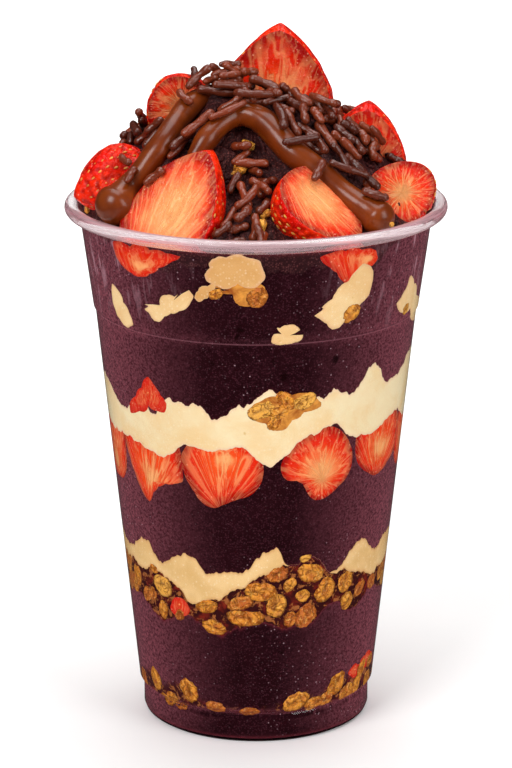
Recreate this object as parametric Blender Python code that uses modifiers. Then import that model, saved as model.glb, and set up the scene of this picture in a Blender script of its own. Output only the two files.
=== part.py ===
# Layered acai cup: a clear tumbler filled with acai, cream, granola and strawberry slices,
# heaped with strawberries, a thick chocolate drizzle and chocolate sprinkles.
# Metres, +Z up, the origin at the centre of the foot, the photographed side facing -Y.

import math
import random

import bmesh
import bpy
from mathutils import Matrix, Vector

# The cup: a standard tumbler with a 98 mm rim, 138 mm tall
RIM_RADIUS = 0.0490
RIM_TOP = 0.1379
RIM_BEAD = 0.0017
WALL = 0.0007
SHOULDER_RADIUS = 0.0309
SHOULDER_HEIGHT = 0.0092
STACK_RADIUS = 0.0414
STACK_HEIGHT = 0.1104
STACK_STEP = 0.0005
MOUTH_RADIUS = 0.0451
MOUTH_HEIGHT = 0.1340
FOOT_RADIUS = 0.0298
FOOT_HEIGHT = 0.0078
NECK_RADIUS = 0.0294
FLOOR_UNDER = 0.0012

# The filling
SEGMENTS = 44
GAP = 0.0003
SLICE_GAP = 0.0008
BOWL_FLOOR = FLOOR_UNDER + WALL + GAP
MOUND_PEAK = 0.1655
MOUND_EDGE = 0.1378
MOUND_DIP = 0.0088
MOUND_FALL = 2.2
LEDGE_DEPTH = 0.0078
STREAK_DEPTH = 0.0062
GRANOLA_RIM = 0.0036
GRANOLA_INSET = 0.0022
BAND_FLOOR = SHOULDER_HEIGHT + 0.0006

# Crests and dips of each boundary round the wall: degrees from the front, height.
GRANOLA_BOTTOM_TOP = [
    (-82, 0.0125), (-60, 0.0165), (-52, 0.0140), (-38, 0.0165), (-24, 0.0115), (-6, 0.0108),
    (14, 0.0118), (24, 0.0150), (30, 0.0130), (42, 0.0170), (67, 0.0180), (85, 0.0140),
    (105, 0.0125), (130, 0.0170), (155, 0.0120), (180, 0.0160), (205, 0.0118), (230, 0.0165),
    (255, 0.0125),
]
GRANOLA_LOWER_BOTTOM = [
    (-85, 0.0332), (-65, 0.0356), (-46, 0.0310), (-33, 0.0343), (-17, 0.0304), (3, 0.0351),
    (12, 0.0317), (22, 0.0320), (37, 0.0380), (47, 0.0343), (62, 0.0384), (77, 0.0349),
    (100, 0.0320), (125, 0.0370), (150, 0.0315), (175, 0.0355), (200, 0.0310), (225, 0.0365),
    (250, 0.0320),
]
CREAM_LOWER_BOTTOM = [
    (-86, 0.0419), (-69, 0.0453), (-59, 0.0440), (-50, 0.0462), (-39, 0.0435), (-27, 0.0382),
    (-18, 0.0402), (-7, 0.0433), (4, 0.0475), (12, 0.0490), (23, 0.0505), (34, 0.0452),
    (39, 0.0466), (48, 0.0455), (62, 0.0425), (77, 0.0437), (100, 0.0430), (125, 0.0455),
    (150, 0.0415), (175, 0.0450), (200, 0.0400), (225, 0.0450), (250, 0.0415),
]
CREAM_LOWER_TOP = [
    (-86, 0.0512), (-70, 0.0485), (-55, 0.0525), (-44, 0.0478), (-30, 0.0517), (-20, 0.0472),
    (-8, 0.0478), (8, 0.0556), (14, 0.0505), (23, 0.0525), (34, 0.0472), (50, 0.0539),
    (60, 0.0486), (75, 0.0515), (95, 0.0490), (120, 0.0530), (140, 0.0480), (165, 0.0525),
    (190, 0.0475), (215, 0.0530), (235, 0.0480), (255, 0.0520),
]
ACAI_MIDDLE_TOP = [
    (-80, 0.0670), (-64, 0.0690), (-49, 0.0634), (-34, 0.0700), (-17, 0.0654), (6, 0.0744),
    (25, 0.0664), (40, 0.0693), (56, 0.0700), (73, 0.0729), (86, 0.0690), (98, 0.0735),
    (114, 0.0665), (131, 0.0725), (148, 0.0655), (165, 0.0720), (182, 0.0665), (199, 0.0725),
    (216, 0.0655), (233, 0.0720), (250, 0.0665), (267, 0.0705),
]
CREAM_UPPER_BOTTOM = [
    (-82, 0.0822), (-69, 0.0799), (-54, 0.0800), (-38, 0.0781), (-28, 0.0819), (-19, 0.0807),
    (-6, 0.0823), (5, 0.0768), (20, 0.0846), (31, 0.0873), (38, 0.0835), (50, 0.0835),
    (66, 0.0862), (82, 0.0820), (105, 0.0850), (130, 0.0800), (150, 0.0845), (175, 0.0790),
    (200, 0.0850), (222, 0.0795), (245, 0.0845), (265, 0.0800),
]
CREAM_UPPER_TOP = [
    (-80, 0.0935), (-58, 0.0882), (-48, 0.0900), (-41, 0.0886), (-33, 0.0940), (-23, 0.0938),
    (-15, 0.0897), (-5, 0.0936), (5, 0.0882), (14, 0.0895), (24, 0.0945), (29, 0.0960),
    (35, 0.0945), (48, 0.1018), (57, 0.0955), (65, 0.0966), (78, 0.1008), (100, 0.0960),
    (125, 0.0990), (148, 0.0920), (175, 0.0975), (200, 0.0930), (225, 0.0990), (252, 0.0910),
]
STREAK = [
    (-75, 0.1175), (-54, 0.1155), (-32, 0.1188), (-9, 0.1262), (10, 0.1130), (30, 0.1205),
    (50, 0.1180), (68, 0.1165), (105, 0.1215), (150, 0.1165), (200, 0.1225), (245, 0.1180),
]

# What lies between the upper cream and the upper acai: middle and half-width in degrees, lift of the acai over it.
STRAWBERRY_TUCKED = [(-47, 12, 0.0085), (164, 13, 0.0080)]
GRANOLA_TUCKED = [(10, 14, 0.0095), (250, 14, 0.0090)]

# Cream caught between the two top scoops of acai: middle and half-width in degrees, drop and rise from the streak.
CREAM_PATCHES = [
    (-54, 10, 0.0050, 0.0050), (-32, 12, 0.0042, 0.0044), (-9, 14, 0.0034, 0.0056), (10, 9, 0.0036, 0.0034),
    (30, 14, 0.0060, 0.0062), (68, 11, 0.0052, 0.0054), (105, 13, 0.0040, 0.0045), (150, 12, 0.0045, 0.0040),
    (200, 14, 0.0050, 0.0050), (245, 12, 0.0040, 0.0048),
]

# Strawberry slices on the wall, left to right from the front and on round the back: middle and half-width in degrees.
WALL_SLICES = [
    (-77, 12.5), (-47.5, 16.3), (-14.3, 16.2), (24.5, 15.8), (56.5, 15.4), (86.5, 13.4),
    (114.5, 14), (148, 16), (182, 16), (216, 16), (250, 16),
]

# Strawberry halves on top: middle, tip direction, cut face direction, length, width, how far the cut is off centre.
BERRIES = {
    "back_tall": ((0.0065, 0.0140, 0.1618), (0.12, 0.08, 1.0), (-0.10, -1.0, 0.20), 0.0375, 0.031, 0.0015),
    "back_left": ((-0.0195, 0.0070, 0.1600), (-0.50, 0.00, -0.80), (0.15, -1.0, 0.25), 0.0215, 0.0195, 0.0010),
    "side_left": ((-0.0345, -0.0070, 0.1450), (-0.85, -0.35, -0.20), (0.50, 0.80, -0.30), 0.0220, 0.0190, 0.0050),
    "front_left": ((-0.0200, -0.0275, 0.1410), (0.49, 0.28, 0.82), (-0.55, -0.75, 0.35), 0.0350, 0.0260, 0.0010),
    "front_right": ((0.0150, -0.0290, 0.1420), (0.69, -0.31, -0.65), (0.45, -0.45, 0.75), 0.0290, 0.0240, 0.0010),
    "back_right": ((0.0290, 0.0060, 0.1515), (0.15, 0.10, 1.0), (0.30, 1.0, -0.10), 0.0250, 0.0205, 0.0050),
    "side_right": ((0.0362, -0.0130, 0.1430), (0.25, -0.35, -0.90), (-0.05, -0.80, 0.55), 0.0215, 0.0185, 0.0010),
    "rear_left": ((-0.0240, 0.0270, 0.1475), (-0.30, 0.50, 0.75), (-0.50, 0.85, 0.30), 0.0280, 0.0230, 0.0010),
    "rear_right": ((0.0215, 0.0325, 0.1455), (0.35, 0.30, 0.80), (0.30, 0.90, 0.35), 0.0270, 0.0220, 0.0010),
}
BERRY_FLATTENING = 0.92

# The drizzle: a rope down to a blob at the left, and one that arches over the front to a blob at the right
DRIZZLE_LEFT = [
    ((-0.0120, 0.0030, 0.1645), 0.0022), ((-0.0166, -0.0010, 0.1621), 0.0029),
    ((-0.0200, -0.0060, 0.1588), 0.0030), ((-0.0228, -0.0110, 0.1551), 0.0030),
    ((-0.0262, -0.0135, 0.1508), 0.0030), ((-0.0290, -0.0150, 0.1470), 0.0030),
    ((-0.0322, -0.0165, 0.1432), 0.0032), ((-0.0350, -0.0178, 0.1400), 0.0046),
    ((-0.0362, -0.0184, 0.1388), 0.0036),
]
DRIZZLE_RIGHT = [
    ((-0.0150, -0.0165, 0.1525), 0.0022), ((-0.0128, -0.0150, 0.1555), 0.0027),
    ((-0.0095, -0.0120, 0.1588), 0.0029), ((-0.0053, -0.0090, 0.1611), 0.0030),
    ((-0.0010, -0.0095, 0.1610), 0.0031), ((0.0030, -0.0120, 0.1590), 0.0031),
    ((0.0085, -0.0170, 0.1538), 0.0031), ((0.0135, -0.0190, 0.1504), 0.0030),
    ((0.0184, -0.0210, 0.1471), 0.0029), ((0.0238, -0.0235, 0.1430), 0.0028),
    ((0.0288, -0.0262, 0.1396), 0.0042), ((0.0300, -0.0272, 0.1384), 0.0034),
]
DRIZZLE_SIDES = 2

SPRINKLE_TRIES = 150
SPRINKLE_LENGTH = 0.0075
SPRINKLE_RADIUS = 0.0011
FLAKE_SIZE = (0.0031, 0.0015, 0.0022)
SMALLEST_FLAKE = 0.0010
TUCKED_SHARE = 0.62
TUCKED_FLAKE = (0.0021, 0.0010, 0.0014)
SEED = 7

COLOURS = {
    "clear_plastic": ((0.90, 0.92, 0.93, 1.0), 0.08),
    "acai": ((0.055, 0.012, 0.022, 1.0), 0.55),
    "cream": ((0.86, 0.66, 0.36, 1.0), 0.50),
    "granola": ((0.55, 0.26, 0.06, 1.0), 0.60),
    "strawberry": ((0.72, 0.05, 0.02, 1.0), 0.30),
}


def clear_scene():
    for old in list(bpy.data.objects):
        bpy.data.objects.remove(old, do_unlink=True)


def new_collection(name):
    collection = bpy.data.collections.new(name)
    bpy.context.scene.collection.children.link(collection)
    return collection


def material(name):
    made = bpy.data.materials.get(name)
    if made is None:
        colour, roughness = COLOURS[name]
        made = bpy.data.materials.new(name)
        made.use_nodes = True
        shader = made.node_tree.nodes["Principled BSDF"]
        shader.inputs["Base Color"].default_value = colour
        shader.inputs["Roughness"].default_value = roughness
        shader.inputs["Metallic"].default_value = 0.0
    return made


def add_object(name, bm, material_name, collection, smooth_angle=50):
    mesh = bpy.data.meshes.new(name)
    bmesh.ops.recalc_face_normals(bm, faces=bm.faces)
    bm.to_mesh(mesh)
    bm.free()
    mesh.materials.append(material(material_name))
    mesh.shade_smooth()
    mesh.set_sharp_from_angle(angle=math.radians(smooth_angle))
    obj = bpy.data.objects.new(name, mesh)
    collection.objects.link(obj)
    return obj


# Places and heights

def place(degrees, radius, height):
    # A point at an angle from the front, turning to the right
    turn = math.radians(degrees)
    return Vector((radius * math.sin(turn), -radius * math.cos(turn), height))


def wall_radius(height):
    # Inner radius of the cup at a height, less the gap to the filling
    if height < FOOT_HEIGHT:
        outer = FOOT_RADIUS
    elif height < STACK_HEIGHT:
        share = (height - SHOULDER_HEIGHT) / (STACK_HEIGHT - SHOULDER_HEIGHT)
        outer = SHOULDER_RADIUS + share * (STACK_RADIUS - SHOULDER_RADIUS)
    else:
        share = (height - STACK_HEIGHT) / (MOUTH_HEIGHT - STACK_HEIGHT)
        low = STACK_RADIUS + STACK_STEP
        outer = low + share * (MOUTH_RADIUS - low)
    return outer - WALL - GAP


def wave(points, degrees):
    # Height of a boundary at an angle, easing from each crest or dip to the next
    for here, there in zip(points, points[1:] + [(points[0][0] + 360, points[0][1])]):
        along = (degrees - here[0]) % 360
        span = there[0] - here[0]
        if along <= span:
            ease = 0.5 - 0.5 * math.cos(math.pi * along / span)
            return here[1] + ease * (there[1] - here[1])
    return points[0][1]


def swell(degrees, middle, half_width):
    # 1 in the middle of a stretch of wall, 0 at its ends
    away = abs((degrees - middle + 180) % 360 - 180) / half_width
    return math.cos(away * math.pi / 2) ** 2 if away < 1 else 0.0


def acai_upper_bottom(degrees):
    tucked = STRAWBERRY_TUCKED + GRANOLA_TUCKED
    lift = max(swell(degrees, middle, half) * high for middle, half, high in tucked)
    return wave(CREAM_UPPER_TOP, degrees) + GAP + lift


def streak_low(degrees):
    drop = max(swell(degrees, patch[0], patch[1]) * patch[2] for patch in CREAM_PATCHES)
    return wave(STREAK, degrees) - GAP / 2 - drop


def streak_high(degrees):
    rise = max(swell(degrees, patch[0], patch[1]) * patch[3] for patch in CREAM_PATCHES)
    return wave(STREAK, degrees) + GAP / 2 + rise


def cream_lower_bottom(degrees):
    thinnest = 0.0014
    return min(wave(CREAM_LOWER_BOTTOM, degrees), wave(CREAM_LOWER_TOP, degrees) - thinnest)


def mound_height(x, y):
    # The heap of acai: domed at the back, a cone and lower at the front, with a hollow under the arch of the drizzle
    radius = math.hypot(x, y)
    front = swell(math.degrees(math.atan2(x, -y)), 0, 120)
    edge = MOUND_EDGE - MOUND_DIP * front
    fall = MOUND_FALL - (MOUND_FALL - 1.0) * front
    height = edge + (MOUND_PEAK - edge) * (1 - (radius / wall_radius(MOUTH_HEIGHT)) ** fall)
    hollow = math.exp(-((x / 0.006) ** 2) - ((y + 0.020) / 0.006) ** 2)
    return height - 0.0030 * hollow


# Shapes

def lofted(name, rings, material_name, collection):
    # A closed solid through rings of points, from the middle of its underside to the middle of its top
    bm = bmesh.new()
    loops = [[bm.verts.new(point) for point in ring] for ring in rings]
    for low, high in zip(loops, loops[1:]):
        for i in range(len(low)):
            after = (i + 1) % len(low)
            bm.faces.new((low[i], low[after], high[after], high[i]))
    for loop, ring in ((loops[0], rings[0]), (loops[-1], rings[-1])):
        middle = sum(ring, Vector()) / len(ring)
        hub = bm.verts.new((0, 0, middle.z))
        for i in range(len(loop)):
            bm.faces.new((loop[i], loop[(i + 1) % len(loop)], hub))
    bmesh.ops.triangulate(bm, faces=bm.faces)
    return add_object(name, bm, material_name, collection)


def ring_of(height_at, inset=0.0, share=1.0):
    # One ring of a layer: at the wall, or pulled in from it by an inset or to a share of the radius
    ring = []
    for i in range(SEGMENTS):
        degrees = 360 * i / SEGMENTS
        height = height_at(degrees)
        ring.append(place(degrees, (wall_radius(height) - inset) * share, height))
    return ring


def level(height):
    return lambda degrees: height


def on_curve(points, offset=0.0):
    return lambda degrees: wave(points, degrees) + offset


def faceted(height_at, offset):
    # The same boundary as the rings have it, straight from one of their points to the next, moved up or down
    step = 360 / SEGMENTS

    def height(degrees):
        first = math.floor(degrees / step)
        share = degrees / step - first
        return (1 - share) * height_at(first * step) + share * height_at((first + 1) * step) + offset

    return height


def softened(height_at, mean, keep=0.5):
    # The same boundary deeper in the cup, where its waves are lower
    return lambda degrees: mean + keep * (height_at(degrees) - mean)


def cell(name, middle, half_width, bottom_at, top_at, depth, narrow, material_name, collection):
    # A piece pressed on the wall between two boundaries: its face follows the wall, its back is narrower and round
    columns, rows = 5, 3
    bm = bmesh.new()
    face, back = [], []
    for c in range(columns + 1):
        across = 2 * c / columns - 1
        degrees = middle + half_width * across
        low, high = bottom_at(degrees), top_at(degrees)
        centre = 0.5 * (low + high)
        thick = depth * math.sqrt(max(0.0, 1 - across * across))
        face.append([])
        back.append([])
        for r in range(rows + 1):
            up = 2 * r / rows - 1
            height = centre + 0.5 * (high - low) * up
            radius = wall_radius(height)
            face[c].append(bm.verts.new(place(degrees, radius, height)))
            edge = c in (0, columns)
            sunk = 0.0 if edge else thick * (0.55 + 0.45 * math.sqrt(1 - up * up))
            pulled = centre + (height - centre) * narrow
            back[c].append(face[c][r] if edge else bm.verts.new(place(degrees, radius - sunk, pulled)))
    for c in range(columns):
        for r in range(rows):
            for grid in (face, back):
                corners = (grid[c][r], grid[c + 1][r], grid[c + 1][r + 1], grid[c][r + 1])
                bm.faces.new(corners if grid is face else corners[::-1])
        for r in (0, rows):
            corners = []
            for vert in (face[c][r], face[c + 1][r], back[c + 1][r], back[c][r]):
                if vert not in corners:
                    corners.append(vert)
            bm.faces.new(corners if r else corners[::-1])
    bmesh.ops.triangulate(bm, faces=bm.faces)
    return add_object(name, bm, material_name, collection)


def squeezed_ball(size, matrix):
    # A low ball scaled to half-sizes, for granola flakes and sprinkles
    bm = bmesh.new()
    bmesh.ops.create_uvsphere(bm, u_segments=6, v_segments=3, radius=1.0)
    bmesh.ops.transform(bm, matrix=matrix @ Matrix.Diagonal((*size, 1.0)), verts=bm.verts)
    return bm


def combine(obj, operation, pieces):
    # Joins the pieces to the object, or cuts them out of it, by one Boolean
    boolean = obj.modifiers.new(operation.title(), "BOOLEAN")
    boolean.operation = operation
    boolean.solver = "MANIFOLD"
    boolean.operand_type = "COLLECTION"
    boolean.collection = pieces
    bpy.context.view_layer.update()
    evaluated = obj.evaluated_get(bpy.context.evaluated_depsgraph_get())
    obj.data = bpy.data.meshes.new_from_object(evaluated)
    obj.modifiers.remove(boolean)
    drop_scraps(obj)


def drop_scraps(obj):
    # Keeps the largest closed surface of a mesh, without loose scraps and sealed hollows
    bm = bmesh.new()
    bm.from_mesh(obj.data)
    left = set(bm.faces)
    shells = []
    while left:
        shell = []
        ahead = [left.pop()]
        while ahead:
            face = ahead.pop()
            shell.append(face)
            beside = {other for edge in face.edges for other in edge.link_faces if other in left}
            left -= beside
            ahead.extend(beside)
        shells.append(shell)
    shells.sort(key=len)
    for shell in shells[:-1]:
        bmesh.ops.delete(bm, geom=shell, context="FACES")
    bmesh.ops.triangulate(bm, faces=bm.faces)
    bm.to_mesh(obj.data)
    bm.free()


def fuse(obj, pieces):
    combine(obj, "UNION", pieces)
    for piece in list(pieces.objects):
        bpy.data.objects.remove(piece, do_unlink=True)
    bpy.data.collections.remove(pieces)


# The cup

def cup_profile():
    # From the middle of the inner floor, up inside, over the bead and down outside, to the middle underneath
    inner_floor = FLOOR_UNDER + WALL
    bead_middle = (RIM_RADIUS - RIM_BEAD, RIM_TOP - RIM_BEAD)
    bead = []
    for degrees in (140, 75, 10, -55, -120):
        turn = math.radians(degrees)
        bead.append((bead_middle[0] + RIM_BEAD * math.cos(turn), bead_middle[1] + RIM_BEAD * math.sin(turn)))
    inside = [
        (0.0, inner_floor),
        (FOOT_RADIUS - 0.0028, inner_floor),
        (FOOT_RADIUS - WALL, inner_floor + 0.0020),
        (NECK_RADIUS - WALL, FOOT_HEIGHT),
        (SHOULDER_RADIUS - WALL, SHOULDER_HEIGHT),
        (STACK_RADIUS - WALL, STACK_HEIGHT),
        (STACK_RADIUS + STACK_STEP - WALL, STACK_HEIGHT + 0.0008),
        (MOUTH_RADIUS - WALL, MOUTH_HEIGHT),
    ]
    outside = [
        (MOUTH_RADIUS, MOUTH_HEIGHT),
        (STACK_RADIUS + STACK_STEP, STACK_HEIGHT + 0.0006),
        (STACK_RADIUS, STACK_HEIGHT - 0.0002),
        (SHOULDER_RADIUS, SHOULDER_HEIGHT),
        (NECK_RADIUS, FOOT_HEIGHT),
        (FOOT_RADIUS, FOOT_HEIGHT - 0.0012),
        (FOOT_RADIUS, 0.0016),
        (FOOT_RADIUS - 0.0014, 0.0),
        (FOOT_RADIUS - 0.0032, 0.0),
        (FOOT_RADIUS - 0.0044, FLOOR_UNDER),
        (0.0, FLOOR_UNDER),
    ]
    return inside + bead + outside


def build_cup(collection):
    bm = bmesh.new()
    verts = [bm.verts.new((radius, 0, height)) for radius, height in cup_profile()]
    for a, b in zip(verts, verts[1:]):
        bm.edges.new((a, b))
    cup = add_object("cup", bm, "clear_plastic", collection)
    turn = cup.modifiers.new("Turned", "SCREW")
    turn.angle = math.tau
    turn.steps = turn.render_steps = SEGMENTS
    turn.use_merge_vertices = True
    turn.merge_threshold = 0.00001
    return cup


# The layers, bottom to top

def build_acai_lower(collection):
    granola_top = on_curve(GRANOLA_BOTTOM_TOP, GAP)
    top = on_curve(GRANOLA_LOWER_BOTTOM, -GAP)
    foot_side = FOOT_HEIGHT - 0.0014
    pulled_in = wall_radius(foot_side) - (NECK_RADIUS - WALL - GAP)
    rings = [
        ring_of(level(BOWL_FLOOR), inset=0.0035),
        ring_of(level(BOWL_FLOOR + 0.0022), inset=0.0003),
        ring_of(level(foot_side), inset=0.0003),
        ring_of(level(FOOT_HEIGHT - 0.0001), inset=pulled_in + 0.0003),
        ring_of(level(BAND_FLOOR), inset=GRANOLA_RIM + GAP),
        ring_of(granola_top, inset=GRANOLA_RIM + GAP),
        ring_of(on_curve(GRANOLA_BOTTOM_TOP, GAP + 0.0004)),
        ring_of(top),
        ring_of(top, inset=GRANOLA_INSET),
        ring_of(softened(top, 0.0335), share=0.72),
    ]
    return lofted("acai_lower", rings, "acai", collection)


def flakes_between(bottom_at, top_at, count, draw, pieces, name):
    # Granola flakes standing round the wall between two boundaries, each in its own share of the circle
    length, depth, width = FLAKE_SIZE
    for i in range(count):
        first = 360 * (i + draw.uniform(-0.2, 0.2)) / count
        rows = max(1, int((top_at(first) - bottom_at(first)) / (2.2 * width)))
        for row in range(rows):
            degrees = first + (180 / count if row % 2 else 0)
            spread = math.degrees(length / wall_radius(bottom_at(degrees)))
            ahead = (degrees - spread, degrees, degrees + spread)
            low = max(bottom_at(turn) for turn in ahead)
            high = min(top_at(turn) for turn in ahead)
            height = low + (row + 0.5) * (high - low) / rows
            room = 0.5 * (high - low) / rows - 2 * GAP
            if room < SMALLEST_FLAKE:
                continue
            size = (draw.uniform(0.85, 1.0) * length, depth, min(draw.uniform(0.9, 1.1) * width, room))
            lean = draw.uniform(-0.15, 0.15) if rows == 1 else draw.uniform(-0.35, 0.35)
            middle = place(degrees, wall_radius(height) - depth - GAP, height)
            facing = Matrix.Rotation(math.radians(degrees), 4, "Z") @ Matrix.Rotation(lean, 4, "Y")
            flake = squeezed_ball(size, Matrix.Translation(middle) @ facing)
            add_object(f"{name}_{i}_{row}", flake, "granola", pieces)


def build_granola_bottom(collection, draw):
    # A band of granola on the shoulder of the cup, round the acai
    bottom = level(BAND_FLOOR)
    top = on_curve(GRANOLA_BOTTOM_TOP)
    bm = bmesh.new()
    rings = [
        ring_of(bottom, inset=GRANOLA_RIM),
        ring_of(bottom, inset=0.0018),
        ring_of(on_curve(GRANOLA_BOTTOM_TOP, -0.0003), inset=0.0018),
        ring_of(top, inset=GRANOLA_RIM),
    ]
    loops = [[bm.verts.new(point) for point in ring] for ring in rings]
    for low, high in zip(loops, loops[1:] + loops[:1]):
        for i in range(SEGMENTS):
            after = (i + 1) % SEGMENTS
            bm.faces.new((low[i], low[after], high[after], high[i]))
    bmesh.ops.triangulate(bm, faces=bm.faces)
    band = add_object("granola_bottom", bm, "granola", collection)
    pieces = new_collection("bottom flakes")
    flakes_between(bottom, top, 17, draw, pieces, "flake")
    fuse(band, pieces)
    return band


def build_granola_lower(collection, draw):
    bottom = on_curve(GRANOLA_LOWER_BOTTOM)
    top = lambda degrees: cream_lower_bottom(degrees) - GAP
    rings = [
        ring_of(softened(bottom, 0.0335), share=0.72),
        ring_of(bottom, inset=GRANOLA_INSET),
        ring_of(top, inset=GRANOLA_INSET),
        ring_of(softened(top, 0.0435), share=0.72),
    ]
    core = lofted("granola_lower", rings, "granola", collection)
    pieces = new_collection("lower flakes")
    flakes_between(bottom, top, 15, draw, pieces, "flake")
    fuse(core, pieces)
    return core


def build_cream_lower(collection):
    top = on_curve(CREAM_LOWER_TOP)
    rings = [
        ring_of(softened(cream_lower_bottom, 0.0435), share=0.72),
        ring_of(cream_lower_bottom, inset=GRANOLA_INSET),
        ring_of(cream_lower_bottom),
        ring_of(top),
        ring_of(softened(top, 0.0500), share=0.72),
    ]
    return lofted("cream_lower", rings, "cream", collection)


def build_acai_middle(collection):
    # Its top has a ledge round the wall, on which the strawberry slices stand
    bottom = on_curve(CREAM_LOWER_TOP, GAP)
    ledge = on_curve(ACAI_MIDDLE_TOP)
    top = on_curve(CREAM_UPPER_BOTTOM, -GAP)
    rings = [
        ring_of(softened(bottom, 0.0503), share=0.72),
        ring_of(bottom),
        ring_of(ledge),
        ring_of(ledge, inset=LEDGE_DEPTH),
        ring_of(top, inset=LEDGE_DEPTH + 0.0012),
        ring_of(softened(top, 0.0820), share=0.45),
    ]
    return lofted("acai_middle", rings, "acai", collection)


def build_cream_upper(collection):
    bottom = on_curve(CREAM_UPPER_BOTTOM)
    top = on_curve(CREAM_UPPER_TOP)
    rings = [
        ring_of(softened(bottom, 0.0823), share=0.45),
        ring_of(bottom, inset=LEDGE_DEPTH + 0.0012),
        ring_of(bottom),
        ring_of(top),
        ring_of(softened(top, 0.0945), inset=STREAK_DEPTH),
    ]
    return lofted("cream_upper", rings, "cream", collection)


def build_acai_upper(collection):
    # Between the upper cream and the streak of cream, with room at the wall for what is tucked between them
    inner_bottom = softened(on_curve(CREAM_UPPER_TOP), 0.0945)
    low_at = lambda degrees: inner_bottom(degrees) + GAP
    rings = [
        ring_of(low_at, inset=STREAK_DEPTH),
        ring_of(acai_upper_bottom),
        ring_of(level(STACK_HEIGHT - 0.0018)),
        ring_of(streak_low),
        ring_of(on_curve(STREAK, -GAP / 2), inset=STREAK_DEPTH),
        ring_of(softened(on_curve(STREAK, -GAP / 2), 0.1185), share=0.5),
    ]
    return lofted("acai_upper", rings, "acai", collection)


def build_tucked(collection, draw):
    # What is tucked between the upper cream and the acai over it
    low_at = faceted(on_curve(CREAM_UPPER_TOP), SLICE_GAP)
    high_at = faceted(acai_upper_bottom, -SLICE_GAP)
    for number, (middle, half, high) in enumerate(STRAWBERRY_TUCKED, 1):
        cell(f"strawberry_tucked_{number}", middle, TUCKED_SHARE * half, low_at, high_at,
             0.0022, 0.5, "strawberry", collection)
    for number, (middle, half, high) in enumerate(GRANOLA_TUCKED, 1):
        cluster = cell(f"granola_tucked_{number}", middle, TUCKED_SHARE * half, low_at, high_at,
                       0.0020, 0.5, "granola", collection)
        pieces = new_collection(f"tucked flakes {number}")
        for across in (-0.28, 0.28):
            degrees = middle + half * across
            height = 0.5 * (low_at(degrees) + high_at(degrees))
            spot = place(degrees, wall_radius(height) - TUCKED_FLAKE[1] - GAP, height)
            facing = Matrix.Rotation(math.radians(degrees), 4, "Z")
            lean = Matrix.Rotation(draw.uniform(-0.2, 0.2), 4, "Y")
            ball = squeezed_ball(TUCKED_FLAKE, Matrix.Translation(spot) @ facing @ lean)
            add_object(f"flake {across}", ball, "granola", pieces)
        fuse(cluster, pieces)


def build_patches(collection):
    low_at = faceted(streak_low, SLICE_GAP)
    high_at = faceted(streak_high, -SLICE_GAP)
    for number, (middle, half, drop, rise) in enumerate(CREAM_PATCHES, 1):
        cell(f"cream_patch_{number}", middle, half * 0.66, low_at, high_at, 0.0020, 0.5, "cream", collection)


def build_wall_slices(collection):
    low_at = faceted(on_curve(ACAI_MIDDLE_TOP), SLICE_GAP)
    high_at = faceted(on_curve(CREAM_UPPER_BOTTOM), -SLICE_GAP)
    for number, (middle, half) in enumerate(WALL_SLICES, 1):
        cell(f"strawberry_slice_{number}", middle, half - 0.4, low_at, high_at,
             LEDGE_DEPTH - 0.0012, 0.88, "strawberry", collection)


# The heap

def berry_axes(tip, face):
    # Across, out of the cut face and up to the tip
    up = Vector(tip).normalized()
    out = (Vector(face) - Vector(face).dot(up) * up).normalized()
    return out.cross(up), out, up


def berry_mesh(tip, face, length, width, cut, grow=0.0):
    # A strawberry about its middle, widest a third of the way from its crown, cut flat on one side
    bm = bmesh.new()
    bmesh.ops.create_uvsphere(bm, u_segments=10, v_segments=8, radius=1.0)
    for vert in bm.verts:
        along = vert.co.z
        swelling = 1.0 - 0.30 * along - 0.16 * along * along
        vert.co.x *= 0.5 * width * swelling + grow
        vert.co.y *= 0.5 * width * BERRY_FLATTENING * swelling + grow
        vert.co.z *= 0.5 * length + grow
    trimmed = bmesh.ops.bisect_plane(
        bm, geom=bm.verts[:] + bm.edges[:] + bm.faces[:], dist=1e-6,
        plane_co=(0, -cut - grow, 0), plane_no=(0, -1, 0), clear_outer=True)
    rim = [edge for edge in trimmed["geom_cut"] if isinstance(edge, bmesh.types.BMEdge)]
    bmesh.ops.edgeloop_fill(bm, edges=rim)
    bmesh.ops.triangulate(bm, faces=bm.faces)
    across, out, up = berry_axes(tip, face)
    turn = Matrix((across, -out, up)).transposed().to_4x4()
    bmesh.ops.transform(bm, matrix=turn, verts=bm.verts)
    return bm


def clear_of_berries(point, margin):
    # True where a point is outside every strawberry by a margin
    for middle, tip, face, length, width, cut in BERRIES.values():
        away = point - Vector(middle)
        across, out, up = (away.dot(axis) for axis in berry_axes(tip, face))
        half = 0.5 * width + margin
        share = (across / half) ** 2 + (out / half) ** 2 + (up / (0.5 * length + margin)) ** 2
        if share < 1 and out < cut + margin:
            return False
    return True


def pressed(point, grow):
    # Pulls a point that would cross the wall or the bead of the cup to just inside it
    radius = math.hypot(point.x, point.y)
    clear = 0.0002 - grow
    if point.z < RIM_TOP + GAP:
        limit = wall_radius(min(point.z, MOUTH_HEIGHT)) - clear
        if radius > limit:
            return Vector((point.x * limit / radius, point.y * limit / radius, point.z))
    return point


def build_berries(collection, cutters):
    for name, (middle, tip, face, length, width, cut) in BERRIES.items():
        for grow, target in ((0.0, collection), (0.00035, cutters)):
            bm = berry_mesh(tip, face, length, width, cut, grow)
            for vert in bm.verts:
                vert.co = pressed(vert.co + Vector(middle), grow)
            twin = add_object(f"strawberry_{name}" + ("" if grow == 0 else "_cutter"), bm, "strawberry", target)
            if grow:
                twin.hide_render = True
                twin.display_type = "WIRE"


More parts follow.
